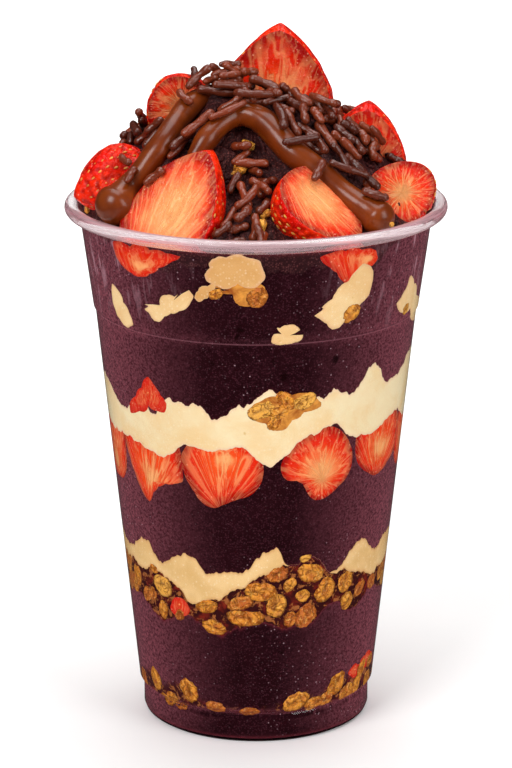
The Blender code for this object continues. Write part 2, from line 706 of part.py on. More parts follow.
def rope_mesh(name, route, pieces):
    # A rope as a bevelled curve, made a mesh so that it can be joined to the heap
    curve = bpy.data.curves.new(name, "CURVE")
    curve.dimensions = "3D"
    curve.bevel_depth = 1.0
    curve.bevel_resolution = DRIZZLE_SIDES
    curve.use_fill_caps = True
    spline = curve.splines.new("POLY")
    spline.points.add(len(route) - 1)
    for point, (spot, radius) in zip(spline.points, route):
        point.co = (*spot, 1.0)
        point.radius = radius
    rope = bpy.data.objects.new(name + "_curve", curve)
    bpy.context.scene.collection.objects.link(rope)
    bpy.context.view_layer.update()
    evaluated = rope.evaluated_get(bpy.context.evaluated_depsgraph_get())
    bm = bmesh.new()
    bm.from_mesh(bpy.data.meshes.new_from_object(evaluated))
    bmesh.ops.remove_doubles(bm, verts=bm.verts, dist=0.00001)
    bpy.data.objects.remove(rope, do_unlink=True)
    add_object(name, bm, "acai", pieces)


def scatter_sprinkles(pieces, draw):
    # Sprinkles lying on the heap, spread evenly by a spiral and kept off the strawberries and off each other
    golden = math.pi * (3 - math.sqrt(5))
    outermost = wall_radius(MOUTH_HEIGHT) - 0.5 * SPRINKLE_LENGTH - 0.0012
    lain = []
    for tried in range(SPRINKLE_TRIES):
        radius = outermost * math.sqrt((tried + 0.5) / SPRINKLE_TRIES)
        turn = tried * golden
        heading = draw.uniform(0, math.tau)
        reach = 0.5 * SPRINKLE_LENGTH * Vector((math.cos(heading), math.sin(heading), 0))
        ends = [Vector((radius * math.cos(turn), radius * math.sin(turn), 0)) + way * reach for way in (-1, 0, 1)]
        for end in ends:
            end.z = mound_height(end.x, end.y) + 0.0005
        if not all(clear_of_berries(end, 0.0022) for end in ends):
            continue
        if any((ends[1] - other).length < 0.0062 for other in lain):
            continue
        lain.append(ends[1])
        lie = (ends[2] - ends[0]).to_track_quat("Z", "Y").to_matrix().to_4x4()
        size = (SPRINKLE_RADIUS, SPRINKLE_RADIUS, 0.5 * SPRINKLE_LENGTH)
        rod = squeezed_ball(size, Matrix.Translation(ends[1]) @ lie)
        add_object(f"sprinkle_{tried}", rod, "acai", pieces)


def build_acai_top(collection, cutters, draw):
    # The top scoop and the heap above the rim, with the drizzle and the sprinkles fused on
    shares = (0.85, 0.64, 0.42, 0.20)
    edge = lambda degrees: mound_height(*place(degrees, wall_radius(MOUTH_HEIGHT), 0).xy)
    rings = [
        ring_of(softened(on_curve(STREAK, GAP / 2), 0.1188), share=0.5),
        ring_of(on_curve(STREAK, GAP / 2), inset=STREAK_DEPTH),
        ring_of(streak_high),
        ring_of(lambda degrees: edge(degrees) - 0.0004),
    ]
    for share in shares:
        ring = []
        for i in range(SEGMENTS):
            spot = place(360 * i / SEGMENTS, wall_radius(MOUTH_HEIGHT) * share, 0)
            ring.append(Vector((spot.x, spot.y, mound_height(spot.x, spot.y))))
        rings.append(ring)
    heap = lofted("acai_top", rings, "acai", collection)
    pieces = new_collection("heap pieces")
    rope_mesh("drizzle_left", DRIZZLE_LEFT, pieces)
    rope_mesh("drizzle_right", DRIZZLE_RIGHT, pieces)
    scatter_sprinkles(pieces, draw)
    fuse(heap, pieces)
    combine(heap, "DIFFERENCE", cutters)
    return heap


def main():
    clear_scene()
    cup_of_acai = new_collection("acai cup")
    cutters = new_collection("cutters")
    draw = random.Random(SEED)
    build_cup(cup_of_acai)
    build_acai_lower(cup_of_acai)
    build_granola_bottom(cup_of_acai, draw)
    build_granola_lower(cup_of_acai, draw)
    build_cream_lower(cup_of_acai)
    build_acai_middle(cup_of_acai)
    build_wall_slices(cup_of_acai)
    build_cream_upper(cup_of_acai)
    build_tucked(cup_of_acai, draw)
    build_acai_upper(cup_of_acai)
    build_patches(cup_of_acai)
    build_berries(cup_of_acai, cutters)
    build_acai_top(cup_of_acai, cutters, draw)


main()
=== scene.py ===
import math
import random

import bmesh
import bpy
import numpy as np
from mathutils import Matrix, Vector
from mathutils.bvhtree import BVHTree


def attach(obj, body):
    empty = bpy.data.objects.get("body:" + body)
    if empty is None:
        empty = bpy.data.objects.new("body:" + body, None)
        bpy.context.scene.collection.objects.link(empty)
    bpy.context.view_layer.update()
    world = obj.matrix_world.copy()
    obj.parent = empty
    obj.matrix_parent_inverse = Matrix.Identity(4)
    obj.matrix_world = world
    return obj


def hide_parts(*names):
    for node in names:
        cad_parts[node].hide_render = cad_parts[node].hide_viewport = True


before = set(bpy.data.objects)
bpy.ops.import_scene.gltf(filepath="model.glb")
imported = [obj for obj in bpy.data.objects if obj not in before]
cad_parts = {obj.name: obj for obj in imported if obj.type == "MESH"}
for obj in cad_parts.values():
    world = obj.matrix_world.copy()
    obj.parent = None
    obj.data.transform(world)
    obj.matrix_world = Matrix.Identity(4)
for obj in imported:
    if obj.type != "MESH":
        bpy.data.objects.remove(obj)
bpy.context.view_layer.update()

mm = 0.001
print("frame loaded,", len(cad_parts), "nodes")

photo = {"width": 512, "height": 768, "sensor": 36}
# The camera stands where the photo's did: a long lens, a little above the rim
cameraSettings = {"place": (0.0, -0.8, 0.32), "lookDown": 16.16, "lens": 150.1}


def makeCamera():
    lens = bpy.data.cameras.new("camera")
    lens.lens = cameraSettings["lens"]
    lens.clip_start = 0.01
    camera = bpy.data.objects.new("camera", lens)
    camera.location = cameraSettings["place"]
    camera.rotation_euler = (math.radians(90 - cameraSettings["lookDown"]), 0, 0)
    bpy.context.scene.collection.objects.link(camera)
    bpy.context.scene.camera = camera


makeCamera()

# Small helpers for noise, grids and pieces


def valueNoise(points, size, seed):
    # Smooth noise from -1 to 1, on a lattice of that size in metres
    cells = points / size
    base = np.floor(cells).astype(np.int64)
    part = cells - base
    part = part * part * (3 - 2 * part)
    shares = (1 - part, part)
    hashes = [(base + step) * (73856093, 19349663, 83492791) for step in (0, 1)]
    total = np.zeros(points.shape[:-1])
    for i, j, k in np.ndindex(2, 2, 2):
        mixed = hashes[i][..., 0] ^ hashes[j][..., 1] ^ hashes[k][..., 2] ^ (seed * 97531)
        mixed = (mixed ^ (mixed >> 13)) * 1274126177
        value = ((mixed ^ (mixed >> 16)) & 65535) / 32767.5 - 1
        total += value * shares[i][..., 0] * shares[j][..., 1] * shares[k][..., 2]
    return total


def layeredNoise(points, size, octaves, seed):
    total = np.zeros(points.shape[:-1])
    for octave in range(octaves):
        total += valueNoise(points, size / 2 ** octave, seed + octave) / 2 ** octave
    return total


def shellFaces(rows, columns, flip=False):
    # Faces round a stack of rings, closed to a hub at each end; the two hubs are the last points
    row, column = np.meshgrid(np.arange(rows - 1), np.arange(columns), indexing="ij")
    after = (column + 1) % columns
    sides = np.stack((row * columns + column, row * columns + after,
                      (row + 1) * columns + after, (row + 1) * columns + column), axis=-1)
    last, hub = (rows - 1) * columns, rows * columns
    faces = sides.reshape(-1, 4).tolist()
    faces += [(hub, (i + 1) % columns, i) for i in range(columns)]
    faces += [(last + i, last + (i + 1) % columns, hub + 1) for i in range(columns)]
    return [face[::-1] for face in faces] if flip else faces


def closedShell(rings, hubs, flip=False):
    return np.concatenate(list(rings) + [hubs]), shellFaces(len(rings), len(rings[0]), flip)


def makePiece(name, points, faces, material, nodes=(), maps=None, sharpAngle=None):
    # A mesh piece in the frame, with its material; the solids it stands for are hidden
    mesh = bpy.data.meshes.new(name)
    mesh.from_pydata([tuple(p) for p in np.asarray(points).tolist()], [], faces)
    for mapName, values in (maps or {}).items():
        channels = mesh.attributes.new(mapName, "FLOAT_VECTOR", "POINT")
        channels.data.foreach_set("vector", np.asarray(values, dtype=np.float32).ravel())
    shell = bmesh.new()
    shell.from_mesh(mesh)
    bmesh.ops.recalc_face_normals(shell, faces=shell.faces)
    shell.to_mesh(mesh)
    shell.free()
    mesh.materials.append(material)
    mesh.shade_smooth()
    if sharpAngle:
        mesh.set_sharp_from_angle(angle=math.radians(sharpAngle))
    mesh.update()
    piece = bpy.data.objects.new(name, mesh)
    bpy.context.scene.collection.objects.link(piece)
    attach(piece, "root")
    if nodes:
        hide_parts(*nodes)
    return piece


def joinMeshes(parts):
    # Joins (points, faces, map) parts into one, with the faces renumbered
    points, faces, maps, count = [], [], [], 0
    for part in parts:
        points.append(part[0])
        faces.extend([tuple(i + count for i in face) for face in part[1]])
        maps.append(part[2])
        count += len(part[0])
    return np.concatenate(points), faces, np.concatenate(maps)


# The cup's outside, the same as the solid's

cup = {
    "rimRadius": 49.0 * mm, "rimTop": 137.9 * mm, "bead": 1.7 * mm, "wall": 0.7 * mm,
    "shoulderRadius": 30.9 * mm, "shoulder": 9.2 * mm, "stackRadius": 41.4 * mm, "stack": 110.4 * mm,
    "stackStep": 0.5 * mm, "mouthRadius": 45.1 * mm, "mouth": 134.0 * mm, "footRadius": 29.8 * mm,
    "foot": 7.8 * mm, "neckRadius": 29.4 * mm, "floor": 1.2 * mm, "segments": 240, "inWall": 0.28 * mm,
    "easeBelow": 1.4 * mm, "easeAbove": 1.9 * mm, "easeLowRadius": 41.255 * mm,
    "easeHighRadius": 42.068 * mm,
}
# The stacking step is eased here, so that the filling follows it inside the wall
wallHeights = [cup["foot"], cup["shoulder"], cup["stack"] - cup["easeBelow"],
               cup["stack"] + cup["easeAbove"], cup["mouth"]]
wallRadii = [cup["neckRadius"], cup["shoulderRadius"], cup["easeLowRadius"], cup["easeHighRadius"],
             cup["mouthRadius"]]


def outerRadius(height):
    height = np.asarray(height, dtype=float)
    radius = np.interp(height, wallHeights, wallRadii)
    return np.where(height < cup["foot"] - 0.6 * mm, cup["footRadius"], radius)


def fillRadius(height, lift=0.0):
    # Where the filling meets the cup: just inside the wall's own thickness, so no air shows
    flare = np.interp(height, (cup["mouth"], cup["rimTop"] - 0.9 * mm), (0, 1.4 * mm))
    return outerRadius(height) - cup["wall"] + cup["inWall"] + lift + flare


def around(degrees, radius, height):
    turn = np.radians(degrees)
    return np.stack(np.broadcast_arrays(radius * np.sin(turn), -radius * np.cos(turn), height), axis=-1)


# Boundaries round the wall: degrees from the front, height in mm at each crest and dip
boundaries = {
    "granolaBottomTop": [(-82, 12.5), (-60, 16.5), (-52, 14.0), (-38, 16.5), (-24, 11.5), (-6, 10.8),
        (14, 11.8), (24, 15.0), (30, 13.0), (42, 17.0), (67, 18.0), (85, 14.0), (105, 12.5), (130, 17.0),
        (155, 12.0), (180, 16.0), (205, 11.8), (230, 16.5), (255, 12.5)],
    "granolaLowerBottom": [(-85, 33.2), (-65, 35.6), (-46, 31.0), (-33, 34.3), (-17, 30.4), (3, 35.1),
        (12, 31.7), (22, 32.0), (37, 38.0), (47, 34.3), (62, 38.4), (77, 34.9), (100, 32.0), (125, 37.0),
        (150, 31.5), (175, 35.5), (200, 31.0), (225, 36.5), (250, 32.0)],
    "creamLowerBottom": [(-86, 41.9), (-69, 45.3), (-59, 44.0), (-50, 46.2), (-39, 43.5), (-27, 38.2),
        (-18, 40.2), (-7, 43.3), (4, 47.5), (12, 49.0), (23, 50.5), (34, 45.2), (39, 46.6), (48, 45.5),
        (62, 42.5), (77, 43.7), (100, 43.0), (125, 45.5), (150, 41.5), (175, 45.0), (200, 40.0),
        (225, 45.0), (250, 41.5)],
    "creamLowerTop": [(-86, 51.2), (-70, 48.5), (-55, 52.5), (-44, 47.8), (-30, 51.7), (-20, 47.2),
        (-8, 47.8), (8, 55.6), (14, 50.5), (23, 52.5), (34, 47.2), (50, 53.9), (60, 48.6), (75, 51.5),
        (95, 49.0), (120, 53.0), (140, 48.0), (165, 52.5), (190, 47.5), (215, 53.0), (235, 48.0),
        (255, 52.0)],
    "creamUpperBottom": [(-82, 82.2), (-69, 79.9), (-54, 80.0), (-38, 78.1), (-28, 81.9), (-19, 80.7),
        (-6, 82.3), (5, 76.8), (20, 84.6), (31, 87.3), (38, 83.5), (50, 83.5), (66, 86.2), (82, 82.0),
        (105, 85.0), (130, 80.0), (150, 84.5), (175, 79.0), (200, 85.0), (222, 79.5), (245, 84.5),
        (265, 80.0)],
    "creamUpperTop": [(-80, 93.5), (-58, 88.2), (-48, 91.5), (-41, 89.2), (-33, 94.0), (-23, 93.8),
        (-15, 89.7), (-5, 93.6), (5, 97.5), (14, 96.5), (24, 94.5), (29, 96.0), (35, 94.5), (48, 101.8),
        (57, 95.5), (65, 96.6), (78, 100.8), (100, 96.0), (125, 99.0), (148, 92.0), (175, 97.5),
        (200, 93.0), (225, 99.0), (252, 91.0)],
}
ragged = {"big": 0.9 * mm, "bigSize": 9 * mm, "small": 0.48 * mm, "smallSize": 1.7 * mm, "fine": 0.36 * mm,
          "fineSize": 0.8 * mm, "seed": 5, "calm": 0.3}


def wave(name, degrees):
    # A boundary's height at any angle, easing from each crest or dip to the next
    spots = boundaries[name]
    angles = np.array([spot[0] for spot in spots] + [spots[0][0] + 360], dtype=float)
    heights = np.array([spot[1] for spot in spots] + [spots[0][1]]) * mm
    turned = (np.asarray(degrees, dtype=float) - angles[0]) % 360 + angles[0]
    first = np.clip(np.searchsorted(angles, turned, side="right") - 1, 0, len(spots) - 1)
    share = (turned - angles[first]) / (angles[first + 1] - angles[first])
    ease = 0.5 - 0.5 * np.cos(np.pi * share)
    return heights[first] + ease * (heights[first + 1] - heights[first])


def raggedLine(name):
    # The same boundary with a smeared, crumbly line, every tenth of a degree
    degrees = np.arange(3600) * 0.1
    height = wave(name, degrees)
    spots = around(degrees, fillRadius(height), 0 * height)
    seed = ragged["seed"] + len(name)
    big = layeredNoise(spots, ragged["bigSize"], 2, seed) * ragged["big"]
    small = layeredNoise(spots, ragged["smallSize"], 3, seed + 40) * ragged["small"]
    calm = ragged["calm"] if name == "creamUpperBottom" else 1
    fine = layeredNoise(spots, ragged["fineSize"], 2, seed + 80) * ragged["fine"] * calm
    return degrees, height + big + small + fine


edgeLines = {name: raggedLine(name) for name in boundaries}


def edge(name, degrees):
    return np.interp(np.asarray(degrees, dtype=float), *edgeLines[name], period=360)


def swell(degrees, middle, halfWidth):
    away = np.abs((np.asarray(degrees) - middle + 180) % 360 - 180) / halfWidth
    return np.where(away < 1, np.cos(np.minimum(away, 1) * np.pi / 2) ** 2, 0)


# Places read off the photo are kept in its pixels; these find them on the object


def sightLine(px, py):
    # From the camera through a pixel of the 512 x 768 photo
    pitch = math.radians(cameraSettings["lookDown"])
    focal = cameraSettings["lens"] / photo["sensor"] * photo["height"]
    way = np.array((0.0, math.cos(pitch), -math.sin(pitch)))
    way += (photo["height"] / 2 - py) / focal * np.array((0.0, math.sin(pitch), math.cos(pitch)))
    way[0] = (px - photo["width"] / 2) / focal
    return np.array(cameraSettings["place"]), way / np.linalg.norm(way)


def onWall(px, py):
    # Degrees from the front and height where the pixel shows the filling's side
    eye, way = sightLine(px, py)
    near, far = 0.7, -eye[1] * way[1] / (way[0] ** 2 + way[1] ** 2)
    for _ in range(36):
        spot = eye + 0.5 * (near + far) * way
        if math.hypot(spot[0], spot[1]) > float(fillRadius(spot[2])):
            near = 0.5 * (near + far)
        else:
            far = 0.5 * (near + far)
    return math.degrees(math.atan2(spot[0], -spot[1])), spot[2]


# Shader node groups, each built once and placed in the materials with its own values


def newGroup(name, inputs, outputs):
    tree = bpy.data.node_groups.new(name, "ShaderNodeTree")
    for socketName, kind, value in inputs:
        socket = tree.interface.new_socket(socketName, in_out="INPUT", socket_type=kind)
        if value is not None:
            socket.default_value = value
    for socketName, kind in outputs:
        tree.interface.new_socket(socketName, in_out="OUTPUT", socket_type=kind)
    return tree, tree.nodes.new("NodeGroupInput"), tree.nodes.new("NodeGroupOutput")


def addNode(tree, kind, values=None, **links):
    # One node: values by property or socket name, links by socket name with spaces as underscores,
    # or by number, as n0
    node = tree.nodes.new(kind)
    for name, value in (values or {}).items():
        if hasattr(node, name):
            setattr(node, name, value)
        else:
            node.inputs[name if not name.isdigit() else int(name)].default_value = value
    for name, source in links.items():
        key = name.replace("_", " ")
        tree.links.new(source, node.inputs[int(key[1:]) if key[0] == "n" and key[1:].isdigit() else key])
    return node


def mathNode(tree, operation, first, second=None, clamp=False):
    node = tree.nodes.new("ShaderNodeMath")
    node.operation = operation
    node.use_clamp = clamp
    for i, value in enumerate((first, second)):
        if value is None:
            continue
        if isinstance(value, (int, float)):
            node.inputs[i].default_value = value
        else:
            tree.links.new(value, node.inputs[i])
    return node.outputs[0]


def times(tree, first, second, clamp=False):
    return mathNode(tree, "MULTIPLY", first, second, clamp)


def plus(tree, first, second):
    return mathNode(tree, "ADD", first, second)


def minus(tree, first, second, clamp=False):
    return mathNode(tree, "SUBTRACT", first, second, clamp)


def mixColors(tree, factor, first, second, blend="MIX"):
    node = tree.nodes.new("ShaderNodeMix")
    node.data_type = "RGBA"
    node.blend_type = blend
    for socket, value in zip((node.inputs[0], node.inputs[6], node.inputs[7]), (factor, first, second)):
        if isinstance(value, (int, float, tuple)):
            socket.default_value = value
        else:
            tree.links.new(value, socket)
    return node.outputs[2]


def ramp(tree, source, stops, ease="EASE"):
    node = tree.nodes.new("ShaderNodeValToRGB")
    node.color_ramp.interpolation = ease
    for i, (place, value) in enumerate(stops):
        colour = value if isinstance(value, tuple) else (value, value, value, 1)
        element = node.color_ramp.elements[i] if i < 2 else node.color_ramp.elements.new(place)
        element.position = place
        element.color = colour
    tree.links.new(source, node.inputs[0])
    return node.outputs[0]


def noiseAt(tree, scale, detail=3.0, rough=0.55, vector=None, distortion=0.0):
    node = tree.nodes.new("ShaderNodeTexNoise")
    node.inputs["Detail"].default_value = detail
    node.inputs["Roughness"].default_value = rough
    node.inputs["Distortion"].default_value = distortion
    if isinstance(scale, (int, float)):
        node.inputs["Scale"].default_value = scale
    else:
        tree.links.new(scale, node.inputs["Scale"])
    if vector is None:
        vector = tree.nodes.new("ShaderNodeTexCoord").outputs["Object"]
    tree.links.new(vector, node.inputs["Vector"])
    return node.outputs["Fac"]


def speckleGroup():
    # Small grains picked from cells: ice crystals and crumbs, and also painted glints such as frost points
    # and beads of juice
    tree, inside, outside = newGroup(
        "specks", [("Scale", "NodeSocketFloat", 900.0), ("Cover", "NodeSocketFloat", 0.5),
                   ("Size", "NodeSocketFloat", 0.5)],
        [("Mask", "NodeSocketFloat"), ("Height", "NodeSocketFloat")])
    place = tree.nodes.new("ShaderNodeTexCoord")
    cells = addNode(tree, "ShaderNodeTexVoronoi", Scale=inside.outputs["Scale"],
                    Vector=place.outputs["Object"])
    pick = addNode(tree, "ShaderNodeSeparateColor", n0=cells.outputs["Color"])
    chosen = mathNode(tree, "LESS_THAN", pick.outputs[0], inside.outputs["Cover"])
    away = mathNode(tree, "DIVIDE", cells.outputs["Distance"], inside.outputs["Size"])
    closer = minus(tree, 1.0, away, clamp=True)
    grain = times(tree, times(tree, closer, 1.8, clamp=True), chosen)
    mask = times(tree, grain, plus(tree, times(tree, pick.outputs[1], 0.7), 0.3))
    tree.links.new(mask, outside.inputs["Mask"])
    fine = noiseAt(tree, inside.outputs["Scale"], 2.0, 0.7)
    broad = noiseAt(tree, times(tree, inside.outputs["Scale"], 0.16), 3.0, 0.6)
    tree.links.new(plus(tree, fine, times(tree, broad, 0.6)), outside.inputs["Height"])
    return tree


def cutFleshGroup():
    # The cut face of a strawberry. Map is the direction the veins take there,
    # Reach runs from 0 at the core to 1 at the rim
    tree, inside, outside = newGroup(
        "cutFlesh", [("Map", "NodeSocketVector", None), ("Reach", "NodeSocketFloat", 0.5),
                     ("Core", "NodeSocketFloat", 0.35), ("Spread", "NodeSocketFloat", 1.0),
                     ("Veins", "NodeSocketFloat", 1.0), ("Ripe", "NodeSocketFloat", 0.0),
                     ("Seed", "NodeSocketFloat", 0.0)],
        [("Color", "NodeSocketColor"), ("Height", "NodeSocketFloat")])
    wobble = times(tree, minus(tree, noiseAt(tree, 260.0, 3.0, 0.6), 0.5), 0.3)
    reach = plus(tree, inside.outputs["Reach"], wobble)
    split = addNode(tree, "ShaderNodeSeparateXYZ", n0=inside.outputs["Map"])
    turned = [times(tree, split.outputs[i], inside.outputs["Spread"]) for i in (0, 1)]
    along = plus(tree, times(tree, reach, 0.3), inside.outputs["Seed"])
    fan = addNode(tree, "ShaderNodeCombineXYZ", n0=turned[0], n1=turned[1], n2=along)
    veins = []
    for scale, width, strength in ((3.4, 0.06, 1.0), (8.5, 0.055, 0.7)):
        ridge = minus(tree, noiseAt(tree, scale, 2.0, 0.5, vector=fan.outputs[0], distortion=0.2), 0.5)
        veins.append(ramp(tree, mathNode(tree, "ABSOLUTE", ridge), [(0.0, strength), (width, 0.0)]))
    fade = ramp(tree, reach, [(0.1, 1.0), (1.0, 0.28)])
    vein = times(tree, mathNode(tree, "MAXIMUM", veins[0], veins[1]), fade)
    vein = times(tree, vein, inside.outputs["Veins"])
    tones = ramp(tree, reach, [(0.0, (0.93, 0.135, 0.018, 1)), (0.42, (0.89, 0.062, 0.006, 1)),
                               (0.74, (0.76, 0.018, 0.002, 1)), (0.97, (0.33, 0.0025, 0.001, 1))])
    body = mixColors(tree, inside.outputs["Ripe"], tones, (0.64, 0.01, 0.004, 1))
    paleCore = ramp(tree, mathNode(tree, "DIVIDE", reach, inside.outputs["Core"]),
                    [(0.15, 1.0), (1.0, 0.0)])
    withCore = mixColors(tree, times(tree, paleCore, 0.85), body, (0.96, 0.4, 0.14, 1))
    coloured = mixColors(tree, times(tree, vein, 0.8), withCore, (0.98, 0.44, 0.17, 1))
    # Painted highlights of beads of juice on the flesh, most of them near the rim
    bead = addNode(tree, "ShaderNodeGroup", {"node_tree": specks})
    for key, value in (("Scale", 1150.0), ("Cover", 0.3), ("Size", 0.34)):
        bead.inputs[key].default_value = value
    near = ramp(tree, reach, [(0.55, 0.1), (0.92, 0.6)])
    juiceGlinted = mixColors(tree, times(tree, bead.outputs["Mask"], near), coloured, (1.0, 0.48, 0.3, 1))
    tree.links.new(juiceGlinted, outside.inputs["Color"])
    grain = noiseAt(tree, 1100.0, 3.0, 0.65)
    tree.links.new(plus(tree, times(tree, vein, -0.9), grain), outside.inputs["Height"])
    return tree


def syrupGroup():
    # Dark syrup between granola flakes, with red fruit juice and brown crumbs in it
    tree, inside, outside = newGroup("syrup", [("Scale", "NodeSocketFloat", 300.0)],
                                     [("Color", "NodeSocketColor")])
    juice = ramp(tree, noiseAt(tree, inside.outputs["Scale"], 3.0, 0.6), [(0.48, 0.0), (0.74, 0.9)])
    wider = times(tree, inside.outputs["Scale"], 1.7)
    crumb = ramp(tree, noiseAt(tree, wider, 3.0, 0.7, distortion=0.4), [(0.52, 0.0), (0.62, 1.0)])
    base = mixColors(tree, juice, (0.034, 0.0058, 0.0062, 1), (0.23, 0.02, 0.01, 1))
    tree.links.new(mixColors(tree, crumb, base, (0.33, 0.105, 0.03, 1)), outside.inputs["Color"])
    return tree


print("building the shader groups")
specks = speckleGroup()
syrupy = syrupGroup()
cutFlesh = cutFleshGroup()


def newMaterial(name, **values):
    made = bpy.data.materials.new(name)
    made.use_nodes = True
    shader = made.node_tree.nodes["Principled BSDF"]
    for key, value in values.items():
        shader.inputs[key.replace("_", " ")].default_value = value
    return made, made.node_tree, shader


def paint(tree, shader, colour):
    tree.links.new(colour, shader.inputs["Base Color"])


def mapRange(tree, source, values):
    return addNode(tree, "ShaderNodeMapRange", values, Value=source).outputs[0]


def objectPlace(tree):
    # Where a spot lies on the object, and its height alone
    place = tree.nodes.new("ShaderNodeTexCoord").outputs["Object"]
    return place, addNode(tree, "ShaderNodeSeparateXYZ", n0=place).outputs[2]


def stretched(tree, place, by):
    return addNode(tree, "ShaderNodeVectorMath", {"operation": "MULTIPLY", "1": by}, n0=place).outputs[0]


def mapChannels(tree, name):
    # The three channels of a map that the piece carries
    mapped = addNode(tree, "ShaderNodeAttribute", {"attribute_name": name})
    return addNode(tree, "ShaderNodeSeparateXYZ", n0=mapped.outputs["Vector"]).outputs


def bumpInto(tree, shader, height, strength, distance):
    bump = addNode(tree, "ShaderNodeBump", {"Strength": strength, "Distance": distance}, Height=height)
    tree.links.new(bump.outputs[0], shader.inputs["Normal"])
    return bump


def useGroup(tree, group, **values):
    node = tree.nodes.new("ShaderNodeGroup")
    node.node_tree = group
    for key, value in values.items():
        if isinstance(value, (int, float)):
            node.inputs[key].default_value = value
        else:
            tree.links.new(value, node.inputs[key])
    return node


def acaiMaterial():
    # fillMap: x is 1 at the layer's own edges, where a highlight line is painted, y where syrup and crumbs
    # were pressed in, z above 0 where it lies open to the air and below 0 in a hole, where painted shade
    # goes
    made, tree, shader = newMaterial("acaiSorbet", Roughness=0.45)
    split = mapChannels(tree, "fillMap")
    # A hole in the sorbet gets painted shade, near black; what lies open to the air is a little wet
    hollow = times(tree, split[2], -1.0, clamp=True)
    wet = times(tree, split[2], 1.0, clamp=True)
    tree.links.new(times(tree, wet, 0.14), shader.inputs["Specular IOR Level"])
    icy = useGroup(tree, specks, Scale=2300.0, Cover=0.55, Size=0.62)
    cloud = ramp(tree, noiseAt(tree, 130.0, 4.0, 0.6), [(0.3, 0.0), (0.75, 1.0)])
    body = mixColors(tree, times(tree, cloud, 0.55), (0.0125, 0.002, 0.0034, 1), (0.026, 0.0042, 0.007, 1))
    grainy = mixColors(tree, icy.outputs["Mask"], body, (0.052, 0.0125, 0.019, 1))
    # Painted sheen: the frosty sorbet is painted paler where the eye grazes along it
    facing = addNode(tree, "ShaderNodeLayerWeight", {"Blend": 0.5})
    against = minus(tree, 1.0, split[2], clamp=True)
    grazingSheen = times(tree, minus(tree, facing.outputs["Facing"], 0.065, clamp=True), against)
    rough = ramp(tree, noiseAt(tree, 1500.0, 4.0, 0.75), [(0.34, 0.3), (0.66, 1.75)])
    pale = mixColors(tree, times(tree, grazingSheen, rough, clamp=True), grainy, (0.62, 0.165, 0.22, 1))
    # Painted glints of frost, bright points in patches; and streaks where the top layer was smeared up the
    # wall, painted as sheen only where the eye grazes along it
    frost = useGroup(tree, specks, Scale=1300.0, Cover=0.22, Size=0.3)
    patch = ramp(tree, noiseAt(tree, 45.0, 3.0, 0.6), [(0.46, 0.1), (0.62, 1.0)])
    glint = times(tree, times(tree, frost.outputs["Mask"], against), times(tree, patch, 0.8))
    withFrostGlints = mixColors(tree, glint, pale, (0.52, 0.32, 0.37, 1))
    place, high = objectPlace(tree)
    tall = stretched(tree, place, (420, 420, 70))
    streaks = noiseAt(tree, 1.0, 3.0, 0.6, vector=tall, distortion=0.3)
    streak = ramp(tree, streaks, [(0.54, 0.0), (0.66, 1.0)])
    band = mapRange(tree, high, {"From Min": 108 * mm, "From Max": 128 * mm, "To Max": 0.8})
    smearSheen = times(tree, times(tree, streak, band), times(tree, grazingSheen, 2.6, clamp=True))
    smearSheened = mixColors(tree, smearSheen, withFrostGlints, (0.62, 0.34, 0.4, 1))
    # At the cup's stacking step a thin line of painted shade is drawn, with a line of painted highlight
    # under it
    step = mapRange(tree, high, {"From Min": 109.5 * mm, "From Max": 111.3 * mm})
    under = ramp(tree, step, [(0.18, 0.0), (0.34, 0.3), (0.48, 0.0)])
    stepHighlit = mixColors(tree, under, smearSheened, (0.42, 0.15, 0.19, 1))
    over = ramp(tree, step, [(0.4, 0.0), (0.52, 0.75), (0.66, 0.0)])
    stepShaded = mixColors(tree, over, stepHighlit, (0.008, 0.001, 0.002, 1))
    # Painted highlight: a paler red line along the layer's own edges
    edgeHighlit = mixColors(tree, times(tree, split[0], 0.55), stepShaded, (0.15, 0.02, 0.03, 1))
    lumps = mixColors(tree, icy.outputs["Mask"], (0.036, 0.0062, 0.0066, 1), (0.19, 0.05, 0.042, 1))
    lying = mixColors(tree, times(tree, split[2], 0.85, clamp=True), edgeHighlit, lumps)
    # Painted shade: holes are painted near black
    holeShaded = mixColors(tree, times(tree, hollow, 0.9), lying, (0.005, 0.0006, 0.0009, 1))
    syrup = useGroup(tree, syrupy)
    paint(tree, shader, mixColors(tree, split[1], holeShaded, syrup.outputs["Color"]))
    crumbs = times(tree, noiseAt(tree, 560.0, 4.0, 0.65), times(tree, wet, 9.0))
    bumpInto(tree, shader, plus(tree, icy.outputs["Height"], crumbs), 0.45, 0.25 * mm)
    return made


def creamMaterial(name, deep, pale, thin):
    made, tree, shader = newMaterial(name, Roughness=0.5, Specular_IOR_Level=0.05, Subsurface_Weight=0.12,
                                     Subsurface_Scale=1.0 * mm, Subsurface_Radius=(1.0, 0.7, 0.4))
    split = mapChannels(tree, "fillMap")
    thick = ramp(tree, noiseAt(tree, 85.0, 5.0, 0.6, distortion=0.5), [(0.3, 0.0), (0.7, 1.0)])
    body = mixColors(tree, thick, deep, pale)
    fleck = useGroup(tree, specks, Scale=1500.0, Cover=0.3, Size=0.5)
    flecked = mixColors(tree, times(tree, fleck.outputs["Mask"], 0.35), body, (0.96, 0.84, 0.6, 1))
    spots = ramp(tree, noiseAt(tree, 260.0, 1.0, 0.4), [(0.76, 0.0), (0.8, 1.0)])
    spotted = mixColors(tree, times(tree, spots, 0.7), flecked, (0.62, 0.33, 0.05, 1))
    paint(tree, shader, mixColors(tree, times(tree, split[0], 0.8), spotted, thin))
    bumpInto(tree, shader, fleck.outputs["Height"], 0.3, 0.3 * mm)
    return made


